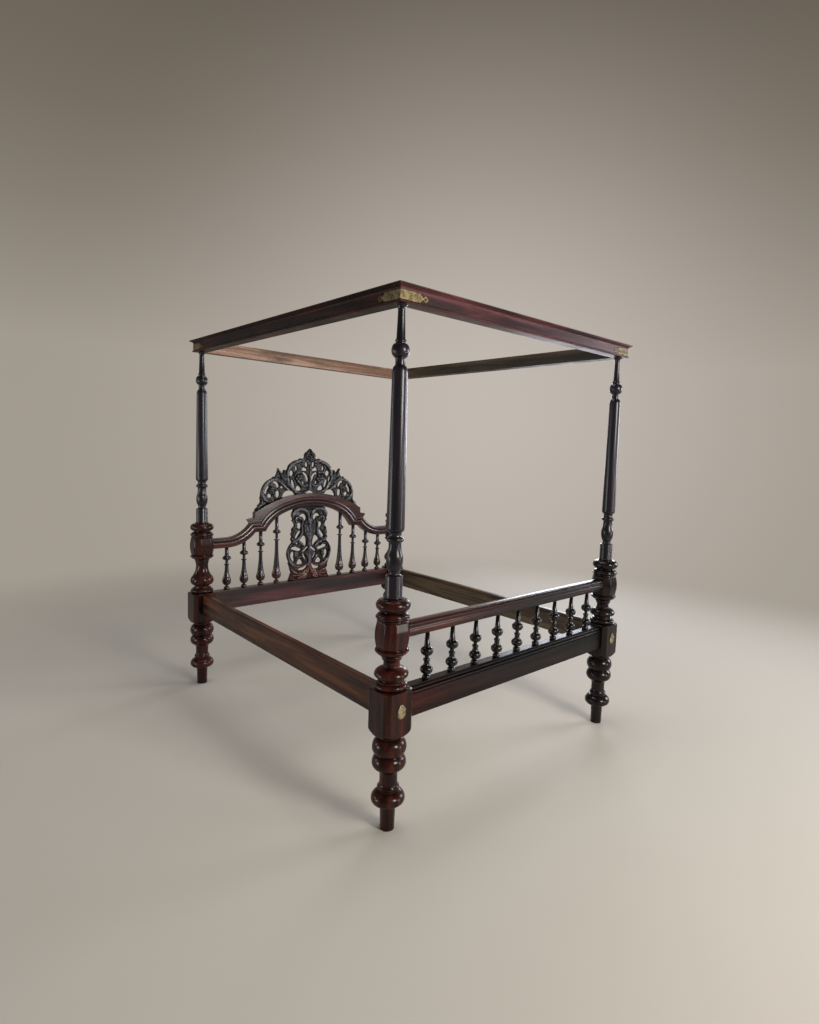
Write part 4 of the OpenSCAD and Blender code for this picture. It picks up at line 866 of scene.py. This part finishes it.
def carved_half(bm, grid, cells, mirror, front, back, depth):
    """Adds one half of a board: its carved face, its back and the walls round its edges. grid is the points'
    x, z and height, cells tells which of the squares between them hold wood."""
    px, pz, high = grid
    raised = bm.verts.layers.float["height"]
    fronts, backs, edges = {}, {}, {}

    def vertex(store, i, j, y):
        if (i, j) not in store:
            store[i, j] = bm.verts.new((mirror * px[i, j] * MM, y * MM, pz[i, j] * MM))
            store[i, j][raised] = high[i, j] if store is fronts else 0.3
        return store[i, j]

    def add_face(corners):
        bm.faces.new(corners if mirror > 0 else corners[::-1])

    for i, j in zip(*np.nonzero(cells)):
        loop = [(i, j), (i + 1, j), (i + 1, j + 1), (i, j + 1)]
        face = [vertex(fronts, a, b, front + depth * (1 - high[a, b])) for a, b in loop]
        rear = [vertex(backs, a, b, back) for a, b in loop]
        add_face(face)
        add_face(rear[::-1])
        for a, b in zip(loop, loop[1:] + loop[:1]):
            if (b, a) in edges:
                del edges[b, a]
            else:
                edges[a, b] = True
    for a, b in edges:
        on_middle = a[0] == 0 and b[0] == 0
        if not on_middle:
            add_face([fronts[b], fronts[a], backs[a], backs[b]])


def carving(name, replaced, outline, holes, shapes, datum, box, planes, material, keep, pitch):
    """A pierced carving, its lines' heights counted from datum. box is its right half's (x, z0, z1), planes
    are its face, its back and the carving's depth, and keep bounds the wood by another piece."""
    outer = mirrored_loop(lifted(outline, datum))
    loops = [smooth_line(lifted(hole, datum), 75, True, 3) for hole in holes]

    def field(x, z):
        return np.minimum(wood_left(x, z, outer, loops), keep(x, z))

    px, pz, d = fitted_grid(field, box, pitch)
    high = relief(px, pz, np.maximum(d, 0), *lifted_shapes(*shapes, datum))
    real = d >= 0
    cells = real[:-1, :-1] & real[1:, :-1] & real[1:, 1:] & real[:-1, 1:]
    bm = bmesh.new()
    bm.verts.layers.float.new("height")
    for mirror in (1, -1):
        carved_half(bm, (px, pz, high), cells, mirror, *planes)
    bmesh.ops.remove_doubles(bm, verts=[v for v in bm.verts if abs(v.co.x) < 1e-7], dist=1e-6)
    make_piece(bm, name, material, replaced, CARVED_ANGLE)


def lifted(points, dz):
    """Points of (x, z), moved up by dz."""
    return [(x, z + dz) for x, z in points]


def mirrored_loop(points):
    """A closed outline from its right half."""
    half = smooth_line(points, 46, False, 3)
    return np.concatenate([half, [(-x, z) for x, z in half[-2:0:-1]]])


def lifted_shapes(bands, leaves, blooms, stem, dz):
    """A carving's raised shapes, moved up by dz."""
    bands, leaves, stems = [[(*widths, lifted(points, dz)) for *widths, points in items]
                            for items in (bands, leaves, [stem])]
    return bands, leaves, [(x, z + dz, radius, petals) for x, z, radius, petals in blooms], stems[0]


FIELD_TOP, FIELD_R = 1237, 820  # the crest stands on the arched field's curve
ARCH_UNDER, ARCH_R, SEAT_GAP = 1146, 540, 0.3  # the splat ends under the arch


def above_field(x, z):
    """Distance above the field, less than nothing below it."""
    return np.hypot(x, z - (FIELD_TOP - FIELD_R)) - FIELD_R - SEAT_GAP


def below_arch(x, z):
    """Distance below the arch, less than nothing above it."""
    return ARCH_R - SEAT_GAP - np.hypot(x, z - (ARCH_UNDER - ARCH_R))


carving("crest_carved", "head_crest", CREST_LINE, CREST_HOLES,
        (CREST_BANDS, CREST_LEAVES, CREST_BLOOMS, CREST_STEM), FIELD_TOP, (424, 1095, 1562), (995, 1021, 18),
        crest_wood, above_field, 2.2)
carving("splat_carved", "head_splat", SPLAT_LINE, SPLAT_HOLES,
        (SPLAT_BANDS, SPLAT_LEAVES, SPLAT_BLOOMS, SPLAT_STEM), RAIL_TOP, (184, 602, 1160), (988, 1012, 17),
        splat_wood, below_arch, 1.8)


# ---------------------------------------------------------------- bolt covers
def bolt_cover(end, side):
    """Egg of pressed sheet brass, domed, with slanting ribs, hung on its pin near the top."""
    length, above_pin, low, high = 59, 7, 20, 11.8  # the egg, and its radii at the foot and the top
    hole, rim, rib_pitch, block_gap = 2.06, 1.3, 6.0, 0.3
    pin_x, pin_z = POST_X * side, BOLT_Z + length / 2 - above_pin
    face_y = end * (POST_Y + BLOCK_HALF + block_gap)
    low_z, high_z = above_pin - length + low, above_pin - high
    lean = math.asin((low - high) / (high_z - low_z))
    edge = np.array([(r * math.cos(a), z + r * math.sin(a)) for r, z, first, last in (
        (high, high_z, lean, math.pi - lean), (low, low_z, math.pi - lean, 2 * math.pi + lean))
        for a in np.linspace(first, last, 40)])
    turns = np.linspace(-math.pi, math.pi, 128, endpoint=False)
    polar = sorted(zip(np.arctan2(edge[:, 1], edge[:, 0]), np.hypot(*edge.T)))
    reach = np.interp(turns, *zip(*polar), period=2 * math.pi)
    along = np.linspace(0, 1, 44)[:, None]
    radius = hole + (reach - hole) * along
    px, pz = radius * np.cos(turns), radius * np.sin(turns)
    inward = to_line(px, pz, edge, True)[0]
    swell = 1 - (1 - np.clip(inward / 8, 0, 1)) ** 2
    ribs = np.cos(2 * math.pi * (0.8 * px + 0.6 * pz) / rib_pitch) * np.clip((inward - 2.5) / 2, 0, 1)
    # flatter round the pin
    clear = np.clip((radius - 5) / 4, 0, 1)
    front = rim + 1.1 * swell + clear * (0.9 * swell + 0.45 * ribs)
    bm = bmesh.new()

    def ring(row, out):
        return [bm.verts.new(((pin_x + x) * MM, (face_y + end * y) * MM, (pin_z + z) * MM))
                for x, z, y in zip(px[row], pz[row], out)]

    rows = [ring(k, front[k]) for k in range(len(along))]
    rows += [ring(k, np.zeros(len(turns))) for k in (-1, 0)]
    for a, b in zip(rows, rows[1:] + rows[:1]):
        for i in range(len(turns)):
            k = (i + 1) % len(turns)
            bm.faces.new((a[i], b[i], b[k], a[k]))
    bmesh.ops.recalc_face_normals(bm, faces=bm.faces)
    name = corner_name("bolt_cover", end, side)
    make_piece(bm, name + "_pressed", cover_brass, name, CARVED_ANGLE, body=name)


for end, side in CORNERS:
    bolt_cover(end, side)

# ---------------------------------------------------------------- stage, light, camera
scene = bpy.context.scene
scene.view_settings.view_transform = "Standard"


def seen_rays(tree):
    """1 for rays from the camera and for those that a gloss or glass sends on, 0 for light's own."""
    ray = node(tree, "LightPath").outputs
    first = node(tree, "Math", {0: ray["Is Camera Ray"], 1: ray["Is Glossy Ray"]}, operation="MAXIMUM")
    either = node(tree, "Math", {0: first.outputs[0], 1: ray["Is Transmission Ray"]}, operation="MAXIMUM")
    return either.outputs[0]


def make_floor():
    """A pale floor that keeps the shadow and goes over into the backdrop further out."""
    bm = bmesh.new()
    bmesh.ops.create_circle(bm, cap_ends=True, radius=40, segments=64)
    mesh = bpy.data.meshes.new("floor")
    bm.to_mesh(mesh)
    bm.free()
    floor = bpy.data.objects.new("floor", mesh)
    scene.collection.objects.link(floor)
    material = bpy.data.materials.new("studio_floor_painted")
    material.use_nodes = True
    tree = material.node_tree
    tree.nodes.clear()
    place = node(tree, "NewGeometry").outputs["Position"]
    far = node(tree, "VectorMath", {0: place}, operation="LENGTH")
    fade = node(tree, "MapRange", {"Value": far.outputs["Value"], "From Min": 2.3, "From Max": 5.5},
                interpolation_type="SMOOTHSTEP")
    amount = node(tree, "Math", {0: fade.outputs[0], 1: seen_rays(tree)}, operation="MULTIPLY")
    paint = node(tree, "BsdfPrincipled", {"Base Color": linear("#bdb7ac"), "Roughness": 0.75})
    backdrop = node(tree, "BsdfTransparent")
    mixed = node(tree, "MixShader", {0: amount.outputs[0], 1: paint.outputs[0], 2: backdrop.outputs[0]})
    node(tree, "OutputMaterial", {"Surface": mixed.outputs[0]})
    mesh.materials.append(material)


make_floor()


def make_world():
    """A wall of soft grey-beige, darker upwards, with a pool of light behind the bed."""
    world = bpy.data.worlds.new("studio")
    scene.world = world
    world.use_nodes = True
    tree = world.node_tree
    tree.nodes.clear()
    direction = node(tree, "TexCoord").outputs["Generated"]
    up = node(tree, "SeparateXYZ", {0: direction}).outputs[2]
    wall = node(tree, "ValToRGB", {"Fac": up}, stops=(
        (0.0, "#a39b90"), (0.13, "#a29a8f"), (0.19, "#989085"), (0.31, "#857d72"), (0.42, "#756d61"),
        (0.6, "#625a50")))
    pool = node(tree, "VectorMath", {0: direction, 1: (0.72, 0.68, 0.08)}, operation="DISTANCE")
    from_pool = pool.outputs["Value"]
    glow = node(tree, "MapRange", {"Value": from_pool, "From Min": 0.66, "From Max": 0.0, "To Max": 0.8},
                interpolation_type="SMOOTHSTEP")
    lit_wall = node(tree, "Mix", {0: glow.outputs[0], 6: wall.outputs[0], 7: linear("#c8bfb6")},
                    data_type="RGBA")
    # the room falls off into shade away from the pool
    away = node(tree, "MapRange", {"Value": from_pool, "From Min": 0.75, "From Max": 1.4, "To Max": 0.55},
                interpolation_type="SMOOTHSTEP")
    shaded = node(tree, "Mix", {0: away.outputs[0], 6: lit_wall.outputs[2], 7: linear("#5d564d")},
                  data_type="RGBA")
    seen = node(tree, "Background", {"Color": shaded.outputs[2], "Strength": 1.0})
    lit = node(tree, "Background", {"Color": linear("#cfcbc6"), "Strength": 0.25})
    mixed = node(tree, "MixShader", {0: seen_rays(tree), 1: lit.outputs[0], 2: seen.outputs[0]})
    node(tree, "OutputWorld", {"Surface": mixed.outputs[0]})


make_world()


def lamp(name, place, target, size, watts, colour="#ffffff"):
    """A soft box at a place, turned to a target; size is its width and height."""
    light = bpy.data.lights.new(name, "AREA")
    light.shape = "RECTANGLE"
    light.size, light.size_y = size
    light.energy = watts
    light.color = linear(colour)[:3]
    held = bpy.data.objects.new(name, light)
    held.location = place
    held.rotation_euler = (Vector(target) - Vector(place)).to_track_quat("-Z", "Y").to_euler()
    scene.collection.objects.link(held)


lamp("window_front", (0.2, -5.4, 2.7), (0, 0, 0.9), (1.4, 1.6), 190, "#fff9f2")
lamp("window_low_right", (2.5, -5.0, 0.9), (0, 0, 1.0), (1.0, 1.3), 35, "#fff9f2")
lamp("window_right", (5.4, -2.6, 2.2), (0, 0, 1.0), (1.8, 2.0), 140, "#f0f4ff")
lamp("window_back_right", (4.7, 2.0, 2.1), (0, 0, 0.9), (1.8, 1.7), 75, "#eef3ff")
lamp("window_back_left", (-4.4, 3.4, 1.8), (0, 0, 0.9), (1.2, 1.6), 25, "#f2f5ff")
lamp("fill_left", (-4.8, 1.0, 0.8), (0, 0.3, 0.5), (1.4, 1.3), 40, "#f6f6fa")
lamp("overhead", (0, 0, 4.8), (0, 0, 0), (2.6, 2.6), 80)

# The camera as solved from the photograph: its place, and the directions of its right and its view
CAMERA_PLACE = (-2.2703, -2.868, 1.5871)
CAMERA_RIGHT, CAMERA_AHEAD = (0.72727, -0.68538, 0.03651), (0.6854, 0.72244, -0.09117)
camera = bpy.data.objects.new("camera", bpy.data.cameras.new("camera"))
scene.collection.objects.link(camera)
scene.camera = camera
camera.data.sensor_width = 36
camera.data.lens = 21.02
camera.data.shift_x, camera.data.shift_y = -0.0379, -0.0071
ahead = Vector(CAMERA_AHEAD).normalized()
up = Vector(CAMERA_RIGHT).cross(ahead).normalized()
axes = Matrix((ahead.cross(up), up, -ahead)).transposed().to_4x4()
camera.matrix_world = Matrix.Translation(CAMERA_PLACE) @ axes
